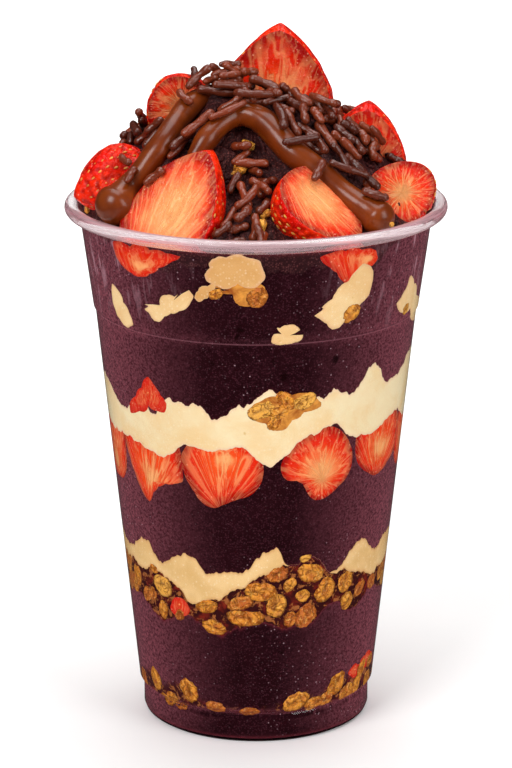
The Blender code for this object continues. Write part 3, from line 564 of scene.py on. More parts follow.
def granolaMaterial():
    # flakeMap: x is the flake's own tone, y its crease, z its rim; crease and rim carry painted shade
    made, tree, shader = newMaterial("granola", Roughness=0.26, Specular_IOR_Level=0.35)
    split = mapChannels(tree, "flakeMap")
    toast = ramp(tree, noiseAt(tree, 520.0, 5.0, 0.68), [(0.32, 0.0), (0.66, 1.0)])
    body = mixColors(tree, toast, (0.5, 0.11, 0.005, 1), (0.94, 0.37, 0.028, 1))
    glazed = mixColors(tree, ramp(tree, split[0], [(0.55, 0.0), (0.95, 0.7)]), body, (0.52, 0.1, 0.012, 1))
    own = mixColors(tree, ramp(tree, split[0], [(0.05, 0.6), (0.35, 0.0)]), glazed, (0.95, 0.5, 0.08, 1))
    # Painted shade in the wrinkles' folds, and painted highlights on the crisp bumps
    wrinkle = noiseAt(tree, 430.0, 3.0, 0.6, distortion=0.9)
    fold = ramp(tree, mathNode(tree, "ABSOLUTE", minus(tree, wrinkle, 0.5)), [(0.0, 0.6), (0.045, 0.0)])
    foldShaded = mixColors(tree, fold, own, (0.34, 0.062, 0.003, 1))
    crisp = ramp(tree, noiseAt(tree, 1250.0, 3.0, 0.7), [(0.54, 0.0), (0.7, 0.75)])
    lit = mixColors(tree, crisp, foldShaded, (0.98, 0.54, 0.11, 1))
    # Painted shade along the crease and towards the rim, so the flake looks rounded
    creaseShaded = mixColors(tree, split[1], lit, (0.16, 0.03, 0.003, 1))
    rimShaded = mixColors(tree, split[2], creaseShaded, (0.12, 0.02, 0.003, 1))
    paint(tree, shader, rimShaded)
    bumpInto(tree, shader, minus(tree, noiseAt(tree, 700.0, 5.0, 0.65), fold), 1.0, 0.7 * mm)
    return made


def strawberryMaterial(name, core, spread=1.0, seed=0.0, gloss=0.35, veins=1.0, ripe=0.0):
    # berryMap: x and y are the way the veins run, z is how much the skin shows
    # faceMap: x is the reach from the core
    made, tree, shader = newMaterial(name, Roughness=0.24, Specular_IOR_Level=gloss, Subsurface_Weight=0.05,
                                     Subsurface_Scale=1.0 * mm, Subsurface_Radius=(1.0, 0.25, 0.12))
    mapped = addNode(tree, "ShaderNodeAttribute", {"attribute_name": "berryMap"})
    faced = addNode(tree, "ShaderNodeAttribute", {"attribute_name": "faceMap"})
    split = addNode(tree, "ShaderNodeSeparateXYZ", n0=mapped.outputs["Vector"])
    reach = addNode(tree, "ShaderNodeSeparateXYZ", n0=faced.outputs["Vector"])
    flesh = useGroup(tree, cutFlesh, Map=mapped.outputs["Vector"], Reach=reach.outputs[0], Core=core,
                     Spread=spread, Seed=seed, Veins=veins, Ripe=ripe)
    blush = ramp(tree, noiseAt(tree, 150.0, 3.0, 0.5), [(0.3, 0.0), (0.75, 1.0)])
    smooth = mixColors(tree, blush, (0.74, 0.004, 0.0012, 1), (1.0, 0.034, 0.002, 1))
    place = tree.nodes.new("ShaderNodeTexCoord")
    pimple = addNode(tree, "ShaderNodeTexVoronoi", {"Scale": 780.0, "feature": "SMOOTH_F1"},
                     Vector=place.outputs["Object"])
    # Painted shade in the crevices between the pimples
    pimpleShaded = mixColors(tree, ramp(tree, pimple.outputs["Distance"], [(0.36, 0.0), (0.72, 0.7)]), smooth,
                      (0.26, 0.0012, 0.0008, 1))
    # Painted highlights: pale wet spots on the skin
    skinGlint = useGroup(tree, specks, Scale=820.0, Cover=0.24, Size=0.26)
    skin = mixColors(tree, times(tree, skinGlint.outputs["Mask"], 0.75), pimpleShaded, (1.0, 0.42, 0.3, 1))
    skinShare = ramp(tree, split.outputs[2], [(0.35, 0.0), (0.65, 1.0)])
    paint(tree, shader, mixColors(tree, skinShare, flesh.outputs["Color"], skin))
    wet = ramp(tree, noiseAt(tree, 700.0, 3.0, 0.6), [(0.35, 0.1), (0.65, 0.38)])
    tree.links.new(wet, shader.inputs["Roughness"])
    # Wet pimples on the skin, finer grain on the cut
    lump = times(tree, times(tree, pimple.outputs["Distance"], -2.2), skinShare)
    bumpInto(tree, shader, plus(tree, flesh.outputs["Height"], lump), 0.65, 0.4 * mm)
    return made


def amberMaterial():
    # Honey from the granola, thin against the cup
    made, tree, shader = newMaterial("amberSyrup", Roughness=0.3, Specular_IOR_Level=0.1)
    pool = ramp(tree, noiseAt(tree, 210.0, 4.0, 0.6, distortion=0.5), [(0.32, 0.0), (0.68, 1.0)])
    paint(tree, shader, mixColors(tree, pool, (0.3, 0.062, 0.005, 1), (0.8, 0.34, 0.055, 1)))
    bumpInto(tree, shader, noiseAt(tree, 600.0, 3.0, 0.6), 0.4, 0.3 * mm)
    return made


def seedMaterial():
    made, tree, shader = newMaterial("strawberrySeeds", Roughness=0.35)
    tone = ramp(tree, noiseAt(tree, 350.0, 2.0), [(0.3, 0.0), (0.7, 1.0)])
    paint(tree, shader, mixColors(tree, tone, (0.55, 0.13, 0.012, 1), (0.84, 0.42, 0.07, 1)))
    return made


def chocolateMaterial():
    made, tree, shader = newMaterial("chocolateSpread", Roughness=0.3, Specular_IOR_Level=0.28,
                                     Coat_Weight=0.2, Coat_Roughness=0.16)
    swirl = ramp(tree, noiseAt(tree, 110.0, 3.0, 0.5, distortion=0.8), [(0.3, 0.0), (0.75, 1.0)])
    paint(tree, shader, mixColors(tree, swirl, (0.12, 0.017, 0.001, 1), (0.21, 0.036, 0.003, 1)))
    bumpInto(tree, shader, noiseAt(tree, 260.0, 2.0, 0.5), 0.2, 0.5 * mm)
    return made


def sprinkleMaterial():
    made, tree, shader = newMaterial("chocolateSprinkles", Roughness=0.3, Specular_IOR_Level=0.5,
                                     Coat_Weight=0.25, Coat_Roughness=0.2)
    split = mapChannels(tree, "sprinkleMap")
    body = mixColors(tree, split[0], (0.062, 0.0082, 0.0025, 1), (0.24, 0.037, 0.0095, 1))
    paint(tree, shader, body)
    bumpInto(tree, shader, noiseAt(tree, 620.0, 3.0, 0.6), 0.85, 0.55 * mm)
    return made


def cupMaterial():
    # Clear plastic: shadow and diffuse rays pass straight through, so the filling is lit by the lamps
    made, tree, shader = newMaterial("clearPlastic", Roughness=0.03, IOR=1.33, Transmission_Weight=1.0)
    shader.inputs["Base Color"].default_value = (0.975, 0.98, 0.985, 1)
    path = tree.nodes.new("ShaderNodeLightPath")
    clear = tree.nodes.new("ShaderNodeBsdfTransparent")
    clear.inputs["Color"].default_value = (0.95, 0.95, 0.955, 1)
    passing = mathNode(tree, "MAXIMUM", path.outputs["Is Shadow Ray"], path.outputs["Is Diffuse Ray"])
    blend = tree.nodes.new("ShaderNodeMixShader")
    tree.links.new(passing, blend.inputs[0])
    # The thick rolled rim scatters light, so it looks milky with fine streaks round it
    place, high = objectPlace(tree)
    inRim = mapRange(tree, high, {"From Min": 134.3 * mm, "From Max": 135.6 * mm})
    flat = stretched(tree, place, (30, 30, 1900))
    streaks = ramp(tree, noiseAt(tree, 1.0, 3.0, 0.6, vector=flat), [(0.3, 0.22), (0.7, 0.72)])
    milky = addNode(tree, "ShaderNodeBsdfPrincipled", {"Base Color": (0.58, 0.37, 0.39, 1),
                                                       "Roughness": 0.3})
    rim = addNode(tree, "ShaderNodeMixShader", n0=times(tree, inRim, streaks),
                  n1=shader.outputs[0], n2=milky.outputs[0])
    tree.links.new(rim.outputs[0], blend.inputs[1])
    tree.links.new(clear.outputs[0], blend.inputs[2])
    tree.links.new(blend.outputs[0], tree.nodes["Material Output"].inputs["Surface"])
    bumpInto(tree, shader, noiseAt(tree, 45.0, 2.0, 0.5), 0.06, 0.6 * mm)
    return made


acai = acaiMaterial()
cream = creamMaterial("creamUpper", (0.86, 0.6, 0.3, 1), (0.9, 0.74, 0.46, 1), (0.84, 0.56, 0.36, 1))
creamDeep = creamMaterial("creamLower", (0.72, 0.43, 0.16, 1), (0.86, 0.58, 0.27, 1), (0.66, 0.33, 0.12, 1))
creamPatch = creamMaterial("creamPatches", (0.8, 0.48, 0.2, 1), (0.9, 0.64, 0.33, 1), (0.72, 0.4, 0.2, 1))
# A darker copy of the patch cream: painted shade where the rim shades the cream
creamShaded = creamMaterial("creamShadedUnderRim", (0.66, 0.34, 0.11, 1), (0.8, 0.47, 0.2, 1), (0.74, 0.42, 0.24, 1))
granola = granolaMaterial()
chocolate = chocolateMaterial()
sprinkleCoat = sprinkleMaterial()
seedCoat = seedMaterial()
amberSyrup = amberMaterial()
clearPlastic = cupMaterial()

# The cup


def ringDegrees(columns):
    return np.arange(columns) * 360 / columns


def ringTurns(columns):
    return np.arange(columns) * 2 * math.pi / columns


def cupOutline():
    # From the middle of the inner floor, up inside, round the bead and down outside, to the middle below
    wall = cup["wall"]
    innerFloor = cup["floor"] + wall
    rise = (cup["stackRadius"] + cup["stackStep"], cup["stack"] + 0.7 * mm)
    bead = []
    for degrees in np.linspace(150, -120, 15):
        turn = math.radians(degrees)
        bead.append((cup["rimRadius"] - cup["bead"] * (1 - math.cos(turn)),
                     cup["rimTop"] - cup["bead"] * (1 - math.sin(turn))))
    inside = [
        (0.0, innerFloor), (cup["footRadius"] - 2.8 * mm, innerFloor),
        (cup["footRadius"] - 1.2 * mm, innerFloor + 0.5 * mm),
        (cup["footRadius"] - wall, innerFloor + 2.0 * mm),
        (cup["footRadius"] - wall, cup["foot"] - 1.0 * mm), (cup["neckRadius"] - wall, cup["foot"]),
        (cup["shoulderRadius"] - wall, cup["shoulder"]), (cup["stackRadius"] - wall, cup["stack"]),
        (rise[0] - wall, rise[1]), (cup["mouthRadius"] - wall, cup["mouth"]),
    ]
    outside = [
        (cup["mouthRadius"], cup["mouth"]), (rise[0], cup["stack"] + 0.25 * mm),
        (cup["stackRadius"] + 0.1 * mm, cup["stack"]), (cup["stackRadius"], cup["stack"] - 0.5 * mm),
        (cup["shoulderRadius"], cup["shoulder"]), (cup["neckRadius"] + 0.5 * mm, cup["foot"] + 0.5 * mm),
        (cup["neckRadius"], cup["foot"]), (cup["footRadius"] - 0.1 * mm, cup["foot"] - 0.8 * mm),
        (cup["footRadius"], cup["foot"] - 1.2 * mm), (cup["footRadius"], 1.6 * mm),
        (cup["footRadius"] - 0.4 * mm, 0.6 * mm), (cup["footRadius"] - 1.4 * mm, 0.0),
        (cup["footRadius"] - 3.2 * mm, 0.0), (cup["footRadius"] - 4.4 * mm, cup["floor"]),
        (0.0, cup["floor"]),
    ]
    return inside + bead + outside


def buildCup():
    outline = cupOutline()
    degrees = ringDegrees(cup["segments"])
    rings = [around(degrees, radius, height) for radius, height in outline[1:-1]]
    points, faces = closedShell(rings, [[0, 0, outline[0][1]], [0, 0, outline[-1][1]]], flip=True)
    makePiece("cupShell", points, faces, clearPlastic, ("cup",), sharpAngle=35)


print("turning the cup")
buildCup()

# Layers of the filling: closed shells whose sides are pressed against the cup

layer = {"columns": 480, "fineColumns": 960, "rowStep": 0.72 * mm, "edgeWidth": 0.55 * mm}
bubble = {"size": 2.2 * mm, "from": 0.82, "over": 0.12, "depth": 0.7, "pixel": 0.26 * mm, "sharp": 2.2,
          "edge": 1.35, "seed": 77}
# Holes that air left against the cup, painted in as dark shade only: place and half width, in the photo's
# pixels
holes = [(240, 330, 3.0), (212, 363, 1.9), (335, 359, 3.3), (273, 361, 1.7), (284, 377, 3.6),
         (281, 652, 2.0), (237, 337, 2.0)]


def layerShell(name, lowAt, highAt, material, nodes, lift=0.0, openAt=None, caps=(0.72, 0.3),
               topRows=None, bedAt=None, columns=layer["columns"]):
    # lowAt and highAt give the height of the layer's lower and upper line round the wall
    degrees = ringDegrees(columns)
    low, high = lowAt(degrees), highAt(degrees)
    rows = max(4, int(np.max(high - low) / layer["rowStep"]))
    shares = 0.5 - 0.5 * np.cos(np.linspace(0, math.pi, rows + 1))
    heights = low + shares[:, None] * (high - low)
    radii = fillRadius(heights, lift)
    wall = around(degrees, radii, heights)

    def inward(radius, height, share):
        return around(degrees, radius * share, np.mean(height) + (height - np.mean(height)) * share)

    under = [inward(radii[0], low, share) for share in caps[::-1]]
    over = topRows or [inward(radii[-1], high, share) for share in caps]
    rings = under + list(wall) + list(over)
    points, faces = closedShell(rings, [[0, 0, np.mean(ring[:, 2])] for ring in (rings[0], rings[-1])])
    toEdge = np.minimum(heights - low, high - heights) / layer["edgeWidth"]
    bed = bedAt(degrees, heights) if bedAt else 0 * heights
    maps = np.zeros((len(points), 3))
    first = len(under) * columns
    # x: nearness to the layer's edges, where the sorbet paints a highlight line
    maps[first:first + heights.size, 0] = np.exp(-toEdge ** 2).ravel()
    maps[first:first + heights.size, 1] = bed.ravel()
    if openAt is not None:
        maps[first:first + heights.size, 2] = openAt(degrees, heights).ravel()
    if topRows:
        maps[first + heights.size:, 2] = 1
    return makePiece(name, points, faces, material, nodes, {"fillMap": maps})


def line(name, offset=0.0):
    return lambda degrees: edge(name, degrees) + offset


def level(height):
    return lambda degrees: np.full(np.shape(degrees), height)


def bubbles(degrees, heights):
    # Small pits that trapped air leaves in the acai against the cup, as a mask from 0 down to -1; the
    # sorbet paints them dark as shade
    spots = around(degrees, fillRadius(heights), heights)
    pits = layeredNoise(spots, bubble["size"], 1, bubble["seed"])
    pits = np.clip((pits - bubble["from"]) / bubble["over"], 0, 1) * bubble["depth"]
    for px, py, half in holes:
        at, middle = onWall(px, py)
        aside = np.radians((degrees - at + 180) % 360 - 180) * float(fillRadius(middle))
        away = np.hypot(aside, heights - middle) / (half * bubble["pixel"])
        pits = np.maximum(pits, np.clip(bubble["sharp"] * (bubble["edge"] - away), 0, 1))
    return -pits


def bottomBed(degrees, heights):
    # Syrup shows round the lowest granola
    top = edge("granolaBottomTop", degrees) - 0.6 * mm
    over = np.clip((heights - 8.6 * mm) / (0.6 * mm), 0, 1)
    return over * np.clip((top - heights) / (1.8 * mm), 0, 1) * 0.9


def acaiUpperLow(degrees):
    return edge("creamUpperTop", degrees) - 0.4 * mm


def creamLowerLow(degrees):
    # The lower cream runs out between 9 and 38 degrees
    low = np.minimum(edge("creamLowerBottom", degrees), edge("creamLowerTop", degrees) - 1.2 * mm)
    gone = np.clip(3.2 * swell(degrees, 23.5, 15.5), 0, 1)
    return low + (edge("creamLowerTop", degrees) - low) * gone


print("filling the cup")
layerShell("acaiLowerFill", level(1.2 * mm), line("granolaLowerBottom", 0.3 * mm), acai,
           ("acai_lower",), openAt=bubbles, bedAt=bottomBed, caps=(0.97, 0.3))
layerShell("granolaLowerBed", line("granolaLowerBottom", 0.1 * mm), lambda a: creamLowerLow(a) + 0.4 * mm,
           acai, ("granola_lower",), lift=-0.06 * mm, bedAt=lambda degrees,
           heights: np.ones_like(heights))
layerShell("creamLowerFill", creamLowerLow, line("creamLowerTop"), creamDeep, ("cream_lower",),
           lift=0.1 * mm, columns=layer["fineColumns"])
layerShell("acaiMiddleFill", line("creamLowerTop", -0.4 * mm), line("creamUpperBottom", 0.5 * mm), acai,
           ("acai_middle",), openAt=bubbles)
layerShell("creamUpperFill", line("creamUpperBottom"), line("creamUpperTop"), cream,
           ("cream_upper",), lift=0.12 * mm, columns=layer["fineColumns"])

# Strawberries: a half berry is turned about its axis, cut flat, and its skin is dimpled round each seed

berry = {
    "around": 84, "along": 64, "across": 40, "flat": 0.92, "lumpy": 0.05, "cutRelief": 0.35 * mm,
    "dimple": 0.5 * mm, "dimpleSize": 0.95 * mm, "seedLength": 0.66 * mm, "seedWidth": 0.36 * mm,
    "seedRows": 9, "seedApart": 3.3 * mm, "seedsFrom": -0.8, "seedsSpan": 1.62, "seedEdge": 0.7 * mm,
    "seedSides": 6, "seedRings": ((-0.75, 0.55), (-0.25, 0.95), (0.3, 0.8), (0.75, 0.4)),
}
# Middle, way to the tip, way the cut faces, length, width, depth of the cut, place and size of the pale
# core, place that the veins fan out from (along the axis, -1 to 1) and how tightly they run
berries = {
    "back_tall": ((5.2, 15.5, 161.4), (0.06, 0.08, 1.0), (-0.05, -1.0, 0.2),
        37.5, 30.5, 3.0, -0.4, 0.6, -0.8, 1.1),
    "back_left": ((-19.5, 7.0, 157.8), (-0.5, 0.0, -0.8), (0.15, -1.0, 0.25),
        21.5, 19.5, 2.5, -0.2, 0.6, -0.25, 1.0),
    "side_left": ((-36.0, -7.0, 143.0), (-0.85, -0.35, -0.2), (0.5, 0.8, -0.3),
        22.0, 19.0, 5.0, 0.0, 0.3, 0.0, 1.0),
    "front_left": ((-19.2, -27.5, 140.6), (0.49, 0.28, 0.82), (-0.55, -0.75, 0.35),
        35.0, 26.0, 2.2, -0.1, 0.95, -1.5, 2.6),
    "front_right": ((16.2, -29.5, 140.9), (0.69, -0.31, -0.65), (0.45, -0.45, 0.75),
        25.6, 23.5, 2.0, -0.3, 0.85, -1.4, 2.6),
    "back_right": ((27.6, 2.5, 150.0), (0.1, 0.1, 1.0), (-0.05, -1.0, 0.3),
        25.0, 22.0, 3.5, -0.35, 0.5, -0.8, 1.1),
    "side_right": ((37.0, -13.0, 140.8), (0.25, -0.35, -0.9), (-0.05, -0.8, 0.55),
        18.0, 18.5, 2.6, -0.1, 0.5, -0.1, 1.0),
    "rear_left": ((-22.0, 26.0, 144.0), (-0.1, 0.75, 0.55), (-0.5, 0.85, 0.3),
        28.0, 23.0, 1.0, -0.2, 0.4, -0.2, 1.0),
    "rear_right": ((21.0, 31.5, 143.0), (0.3, 0.65, 0.6), (0.3, 0.9, 0.35),
        27.0, 22.0, 1.0, -0.2, 0.5, -0.2, 1.0),
}


def berryAxes(tip, face):
    up = np.array(tip) / np.linalg.norm(tip)
    out = np.array(face) - np.dot(face, up) * up
    out /= np.linalg.norm(out)
    return np.cross(out, up), out, up


# The heap over the rim: domed behind, lower in front

heap = {"peak": 165.5 * mm, "edge": 137.8 * mm, "dip": 8.8 * mm, "fall": 2.2, "lumps": 0.9 * mm,
        "lumpSize": 5.5 * mm, "crumbs": 1.15 * mm, "crumbSize": 2.0 * mm, "rows": 82, "wallLow": 127.5 * mm,
        "shadeFilm": 133.8 * mm, "shadeFilmWet": 0.45, "crown": 2.6 * mm, "crownReach": 30 * mm, "reach": 44.1 * mm,
        "hollow": 3.0 * mm, "hollowReach": 6 * mm, "hollowAt": -20 * mm, "faceGap": 2.0 * mm,
        "leastSlope": 0.12}
# Dips where the fruit shows more: x, y, reach and depth in mm
dips = [(-25.5, 2.0, 5.0, 5.0), (8.0, 8.0, 8.0, 3.0), (20.0, 6.0, 6.0, 2.5), (27.0, -34.0, 5.5, 4.5),
        (-34.0, -20.0, 4.0, 2.0), (-9.5, 5.0, 5.5, -5.0)]


def moundHeight(x, y):
    radius = np.hypot(x, y)
    front = swell(np.degrees(np.arctan2(x, -y)), 0, 120)
    rim = heap["edge"] - heap["dip"] * front
    fall = heap["fall"] - (heap["fall"] - 1.0) * front
    height = rim + (heap["peak"] - rim) * (1 - (radius / heap["reach"]) ** fall)
    hollow = heap["hollow"] * np.exp(-((x / heap["hollowReach"]) ** 2)
                                     - ((y - heap["hollowAt"]) / heap["hollowReach"]) ** 2)
    hollow += heap["crown"] * np.exp(-(radius / heap["crownReach"]) ** 4)
    for x0, y0, reach, depth in dips:
        hollow += depth * mm * np.exp(-((x - x0 * mm) ** 2 + (y - y0 * mm) ** 2) / (reach * mm) ** 2)
    return height - hollow


def lumpyMound(x, y):
    spots = np.stack((x, y, 0 * x), axis=-1)
    lumps = layeredNoise(spots, heap["lumpSize"], 2, 31) * heap["lumps"]
    crumbs = np.abs(layeredNoise(spots, heap["crumbSize"], 3, 37)) * heap["crumbs"]
    return clearOfFaces(x, y, moundHeight(x, y) + lumps) + crumbs


def clearOfFaces(x, y, height):
    # Where the heap would cover a berry's cut face, it goes down to just behind that face
    for middle, tip, face, length, width, cut, *_ in berries.values():
        across, out, up = berryAxes(tip, face)
        if out[2] < heap["leastSlope"]:
            continue
        x0, y0, z0 = np.array(middle) * mm
        onFace = z0 + (cut * mm - out[0] * (x - x0) - out[1] * (y - y0)) / out[2]
        bounded = np.minimum(height, np.maximum(onFace, heap["wallLow"]))
        spot = np.stack((x - x0, y - y0, bounded - z0), axis=-1)
        inside = ((spot @ across) / (width * 0.6 * mm)) ** 2 + ((spot @ up) / (length * 0.56 * mm)) ** 2
        lowered = np.maximum(onFace - heap["faceGap"], heap["wallLow"])
        height = np.where((inside < 1) & (height > lowered), lowered, height)
    return height


def buildHeap():
    degrees = ringDegrees(layer["columns"])
    rough = around(degrees, fillRadius(132 * mm), 0.0)
    rimHeights = lumpyMound(rough[:, 0], rough[:, 1])
    # Up to the film height the sorbet climbs the wall under the rim: a dark sheet that stands in as painted
    # shade for the gap there
    shadeFilmTops = np.maximum(rimHeights, heap["shadeFilm"])
    mouth = fillRadius(shadeFilmTops)
    topRings = []
    for share in [0.984] + np.linspace(0.976, 0.012, heap["rows"]).tolist():
        flat = around(degrees, mouth * share, 0.0)
        flat[:, 2] = lumpyMound(flat[:, 0], flat[:, 1])
        flat[:, :2] *= np.minimum(1, fillRadius(flat[:, 2]) * 0.985 / (mouth * share))[:, None]
        topRings.append(flat)

    def openParts(angles, heights):
        return bubbles(angles, heights) + np.clip((heights - rimHeights) / mm, 0, heap["shadeFilmWet"])

    return layerShell("acaiUpperFill", acaiUpperLow, lambda a: shadeFilmTops, acai,
                      ("acai_upper", "acai_top"), openAt=openParts, topRows=topRings)


landing = {"heap": [buildHeap()], "ropes": [], "berries": []}


def berryGirth(along):
    # Half width at a place along the axis, -1 at the crown to 1 at the tip, for a berry of width 2
    return 0.966 * np.clip(1 + along, 0, 2) ** 0.5 * np.clip(1 - along, 0, 2) ** 0.8


def seedSpots(width, cut, seed):
    # Seeds in staggered rows round the skin, as (along, turn); 0 to 180 degrees is the half behind the cut
    own = random.Random(seed)
    spots = []
    for row in range(berry["seedRows"]):
        along = berry["seedsFrom"] + berry["seedsSpan"] * (row + 0.5) / berry["seedRows"]
        girth = berryGirth(np.array(along)) * width / 2
        count = max(4, int(round(2 * math.pi * girth / berry["seedApart"])))
        for i in range(count):
            turn = 360 * (i + 0.5 * (row % 2) + own.uniform(-0.12, 0.12)) / count
            lift = math.sin(math.radians(turn)) * girth * berry["flat"]
            if lift > -cut + berry["seedEdge"]:
                spots.append((along + own.uniform(-0.02, 0.02), turn))
    return spots


def skinPoint(along, turn, length, width):
    # Local place on the uncut skin: across, behind the cut, along the axis
    along, turn = np.broadcast_arrays(along, np.radians(turn))
    girth = berryGirth(along) * width / 2
    behind = girth * np.sin(turn) * berry["flat"]
    return np.stack((girth * np.cos(turn), behind, along * length / 2), axis=-1)


def faceMaps(spots, core, fanFrom, outline, skin):
    # For a cut face laid flat: which way the veins run at each spot, and how far it lies from core to rim
    away, rim = spots - core, outline - core
    reach = np.interp(np.arctan2(away[:, 1], away[:, 0]), np.arctan2(rim[:, 1], rim[:, 0]),
                      np.hypot(*rim.T), period=2 * math.pi)
    run = spots - fanFrom
    run /= np.maximum(np.hypot(*run.T), 1e-6)[:, None]
    share = np.hypot(*away.T) / reach
    none = 0 * share
    return {"berryMap": np.column_stack((run, skin)), "faceMap": np.column_stack((share, none, none))}


def buildBerry(name, spec, number):
    middle, tip, face, length, width, cut, coreAt, coreSize, fanAt, spread = spec
    length, width, cut = length * mm, width * mm, cut * mm
    across, out, up = berryAxes(tip, face)
    spots = seedSpots(width, cut, 50 + number)
    alongs = np.sin(np.linspace(-math.pi / 2, math.pi / 2, berry["along"] + 2)[1:-1])
    rings, flatSpots, skins, outline = [], [], [], []
    skinCount, cutCount = berry["around"], berry["across"]
    seedPlaces = skinPoint(np.array([s[0] for s in spots]), np.array([s[1] for s in spots]), length, width)
    for along in alongs:
        girth = max(float(berryGirth(np.array(along))) * width / 2, 0.05 * mm)
        low = -min(1.0, cut / (girth * berry["flat"]))
        start = math.degrees(math.asin(low))
        turns = np.linspace(start, 180 - start, skinCount)
        skin = skinPoint(along, turns, length, width)
        wander = layeredNoise(skin + number * 0.1, 7 * mm, 2, 91) * berry["lumpy"]
        near = np.sqrt(((skin[:, None, :] - seedPlaces[None]) ** 2).sum(-1)).min(1)
        pit = np.exp(-(near / berry["dimpleSize"]) ** 2) * berry["dimple"]
        reach = np.hypot(skin[:, 0], skin[:, 1]) + 1e-9
        shrink = 1 + wander - pit / reach
        skin[:, 0] *= shrink
        skin[:, 1] = np.where(skin[:, 1] > 0, skin[:, 1] * shrink, skin[:, 1])
        shares = np.linspace(1, 0, cutCount + 2)[1:-1]
        flat = skin[0] * shares[:, None] + skin[-1] * (1 - shares)[:, None]
        flat = flat[::-1]
        inner = np.clip(1 - (2 * np.abs(shares - 0.5)) ** 4, 0, 1) * np.clip(1 - abs(along) ** 4, 0, 1)
        core = np.exp(-((flat[:, 0] / (0.16 * width)) ** 2) - ((along - coreAt) / 0.42) ** 2)
        grain = layeredNoise(flat + number * 0.07, 2.4 * mm, 2, 17) * 0.5
        flat[:, 1] += berry["cutRelief"] * inner * (core * 1.1 + grain)
        ring = np.concatenate((skin, flat))
        rings.append(ring)
        onCut = np.concatenate((np.zeros(skinCount), np.ones(cutCount)))
        onCut[[0, skinCount - 1]] = 0.3
        skins.append(1 - onCut)
        flatSpots.append(ring[:, [0, 2]])
        if low > -0.98:
            outline += [skin[0][[0, 2]], skin[-1][[0, 2]]]
    ends = np.array([[0, 0, -length / 2], [0, 0, length / 2]])
    points, faces = closedShell(rings, ends)
    maps = faceMaps(np.concatenate(flatSpots + [ends[:, [0, 2]]]), np.array((0, coreAt * length / 2)),
                    np.array((0, fanAt * length / 2)), np.array(outline), np.concatenate(skins + [[1, 1]]))
    turnTo = np.stack((across, -out, up))
    placed = pressedIn(points @ turnTo + np.array(middle) * mm)
    coat = strawberryMaterial("strawberryHalf" + str(number), coreSize, spread, 3.7 * number, 0.24, 1.15,
                              0.45 if name == "back_right" else 0.0)
    piece = makePiece("berry_" + name, placed, faces, coat, ("strawberry_" + name,), maps)
    landing["berries"].append(piece)
    return seedsFor(spots, length, width, turnTo, np.array(middle) * mm)


def pressedIn(points, lift=-0.1 * mm):
    # Pulls what would cross the cup's wall or bead to just inside it
    radius = np.hypot(points[:, 0], points[:, 1])
    height = points[:, 2]
    inside = fillRadius(np.minimum(height, cup["mouth"]), lift)
    limit = np.where(height < cup["rimTop"] + 0.2 * mm, inside, 1.0)
    share = np.minimum(1, limit / np.maximum(radius, 1e-9))
    return points * np.stack((share, share, np.ones_like(share)), axis=-1)


def seedsFor(spots, length, width, turnTo, middle):
    # Drop-shaped seeds, pointing to the tip, sunk into their dimples
    made = []
    for along, turn in spots:
        here = skinPoint(along, turn, length, width)
        ahead = skinPoint(min(along + 0.05, 0.98), turn, length, width) - here
        ahead /= np.linalg.norm(ahead)
        outward = np.array((math.cos(math.radians(turn)), math.sin(math.radians(turn)), 0.15))
        outward -= outward.dot(ahead) * ahead
        outward /= np.linalg.norm(outward)
        side = np.cross(ahead, outward)
        shape = []
        for step, girth in berry["seedRings"]:
            for corner in range(berry["seedSides"]):
                spin = math.radians(360 / berry["seedSides"] * corner)
                shape.append(step * berry["seedLength"] * ahead + girth * berry["seedWidth"] *
                             (math.cos(spin) * side + 0.7 * math.sin(spin) * outward))
        shape += [-berry["seedLength"] * ahead, berry["seedLength"] * ahead]
        points = np.array(shape) + here - outward * berry["dimple"] * 0.75
        made.append((points @ turnTo + middle, shellFaces(len(berry["seedRings"]), berry["seedSides"]),
                     np.zeros((len(points), 3))))
    return made


print("setting the strawberries")
seedParts = []
for number, (name, spec) in enumerate(berries.items()):
    seedParts += [(pressedIn(part[0], 0.0), part[1], part[2]) for part in buildBerry(name, spec, number)]
points, faces, maps = joinMeshes(seedParts)
makePiece("berrySeeds", points, faces, seedCoat)

# Chocolate spread: two thick glossy ropes, each ending in a round blob

ropes = {
    "drizzleLeft": [(-12.0, 3.0, 164.5, 2.2), (-16.6, -1.0, 162.1, 2.9), (-20.0, -6.0, 158.8, 3.0),
        (-22.8, -11.0, 155.1, 3.0), (-26.2, -13.5, 150.8, 3.0), (-29.0, -15.0, 147.0, 2.9),
        (-31.6, -16.2, 144.6, 3.1), (-33.6, -18.1, 141.8, 4.7), (-34.9, -19.2, 140.5, 5.5)],
    "drizzleRight": [(-15.0, -16.5, 152.5, 2.2), (-12.8, -15.0, 155.5, 2.7), (-9.5, -12.0, 158.8, 2.9),
        (-5.3, -9.0, 161.1, 3.1), (-1.0, -9.5, 161.0, 3.2), (3.0, -12.0, 159.0, 3.4),
        (8.5, -17.0, 153.8, 3.5), (13.5, -19.0, 150.4, 3.3), (18.4, -21.0, 146.9, 3.0),
        (23.4, -23.3, 143.0, 2.9), (27.6, -25.4, 140.6, 3.8), (30.0, -26.8, 139.0, 4.5)],
}
rope = {"around": 32, "steps": 9, "lumps": 0.1, "capRings": 6}


def smoothCurve(knots, steps):
    # Catmull-Rom through the knots, which hold place and thickness together
    padded = np.concatenate(([2 * knots[0] - knots[1]], knots, [2 * knots[-1] - knots[-2]]))
    made = []
    for i in range(1, len(padded) - 2):
        before, first, second, after = padded[i - 1:i + 3]
        for t in np.arange(steps) / steps:
            bend = (2 * before - 5 * first + 4 * second - after) * t ** 2
            made.append(0.5 * (2 * first + (second - before) * t + bend
                               + (3 * first - before - 3 * second + after) * t ** 3))
    return np.array(made + [padded[-2]])


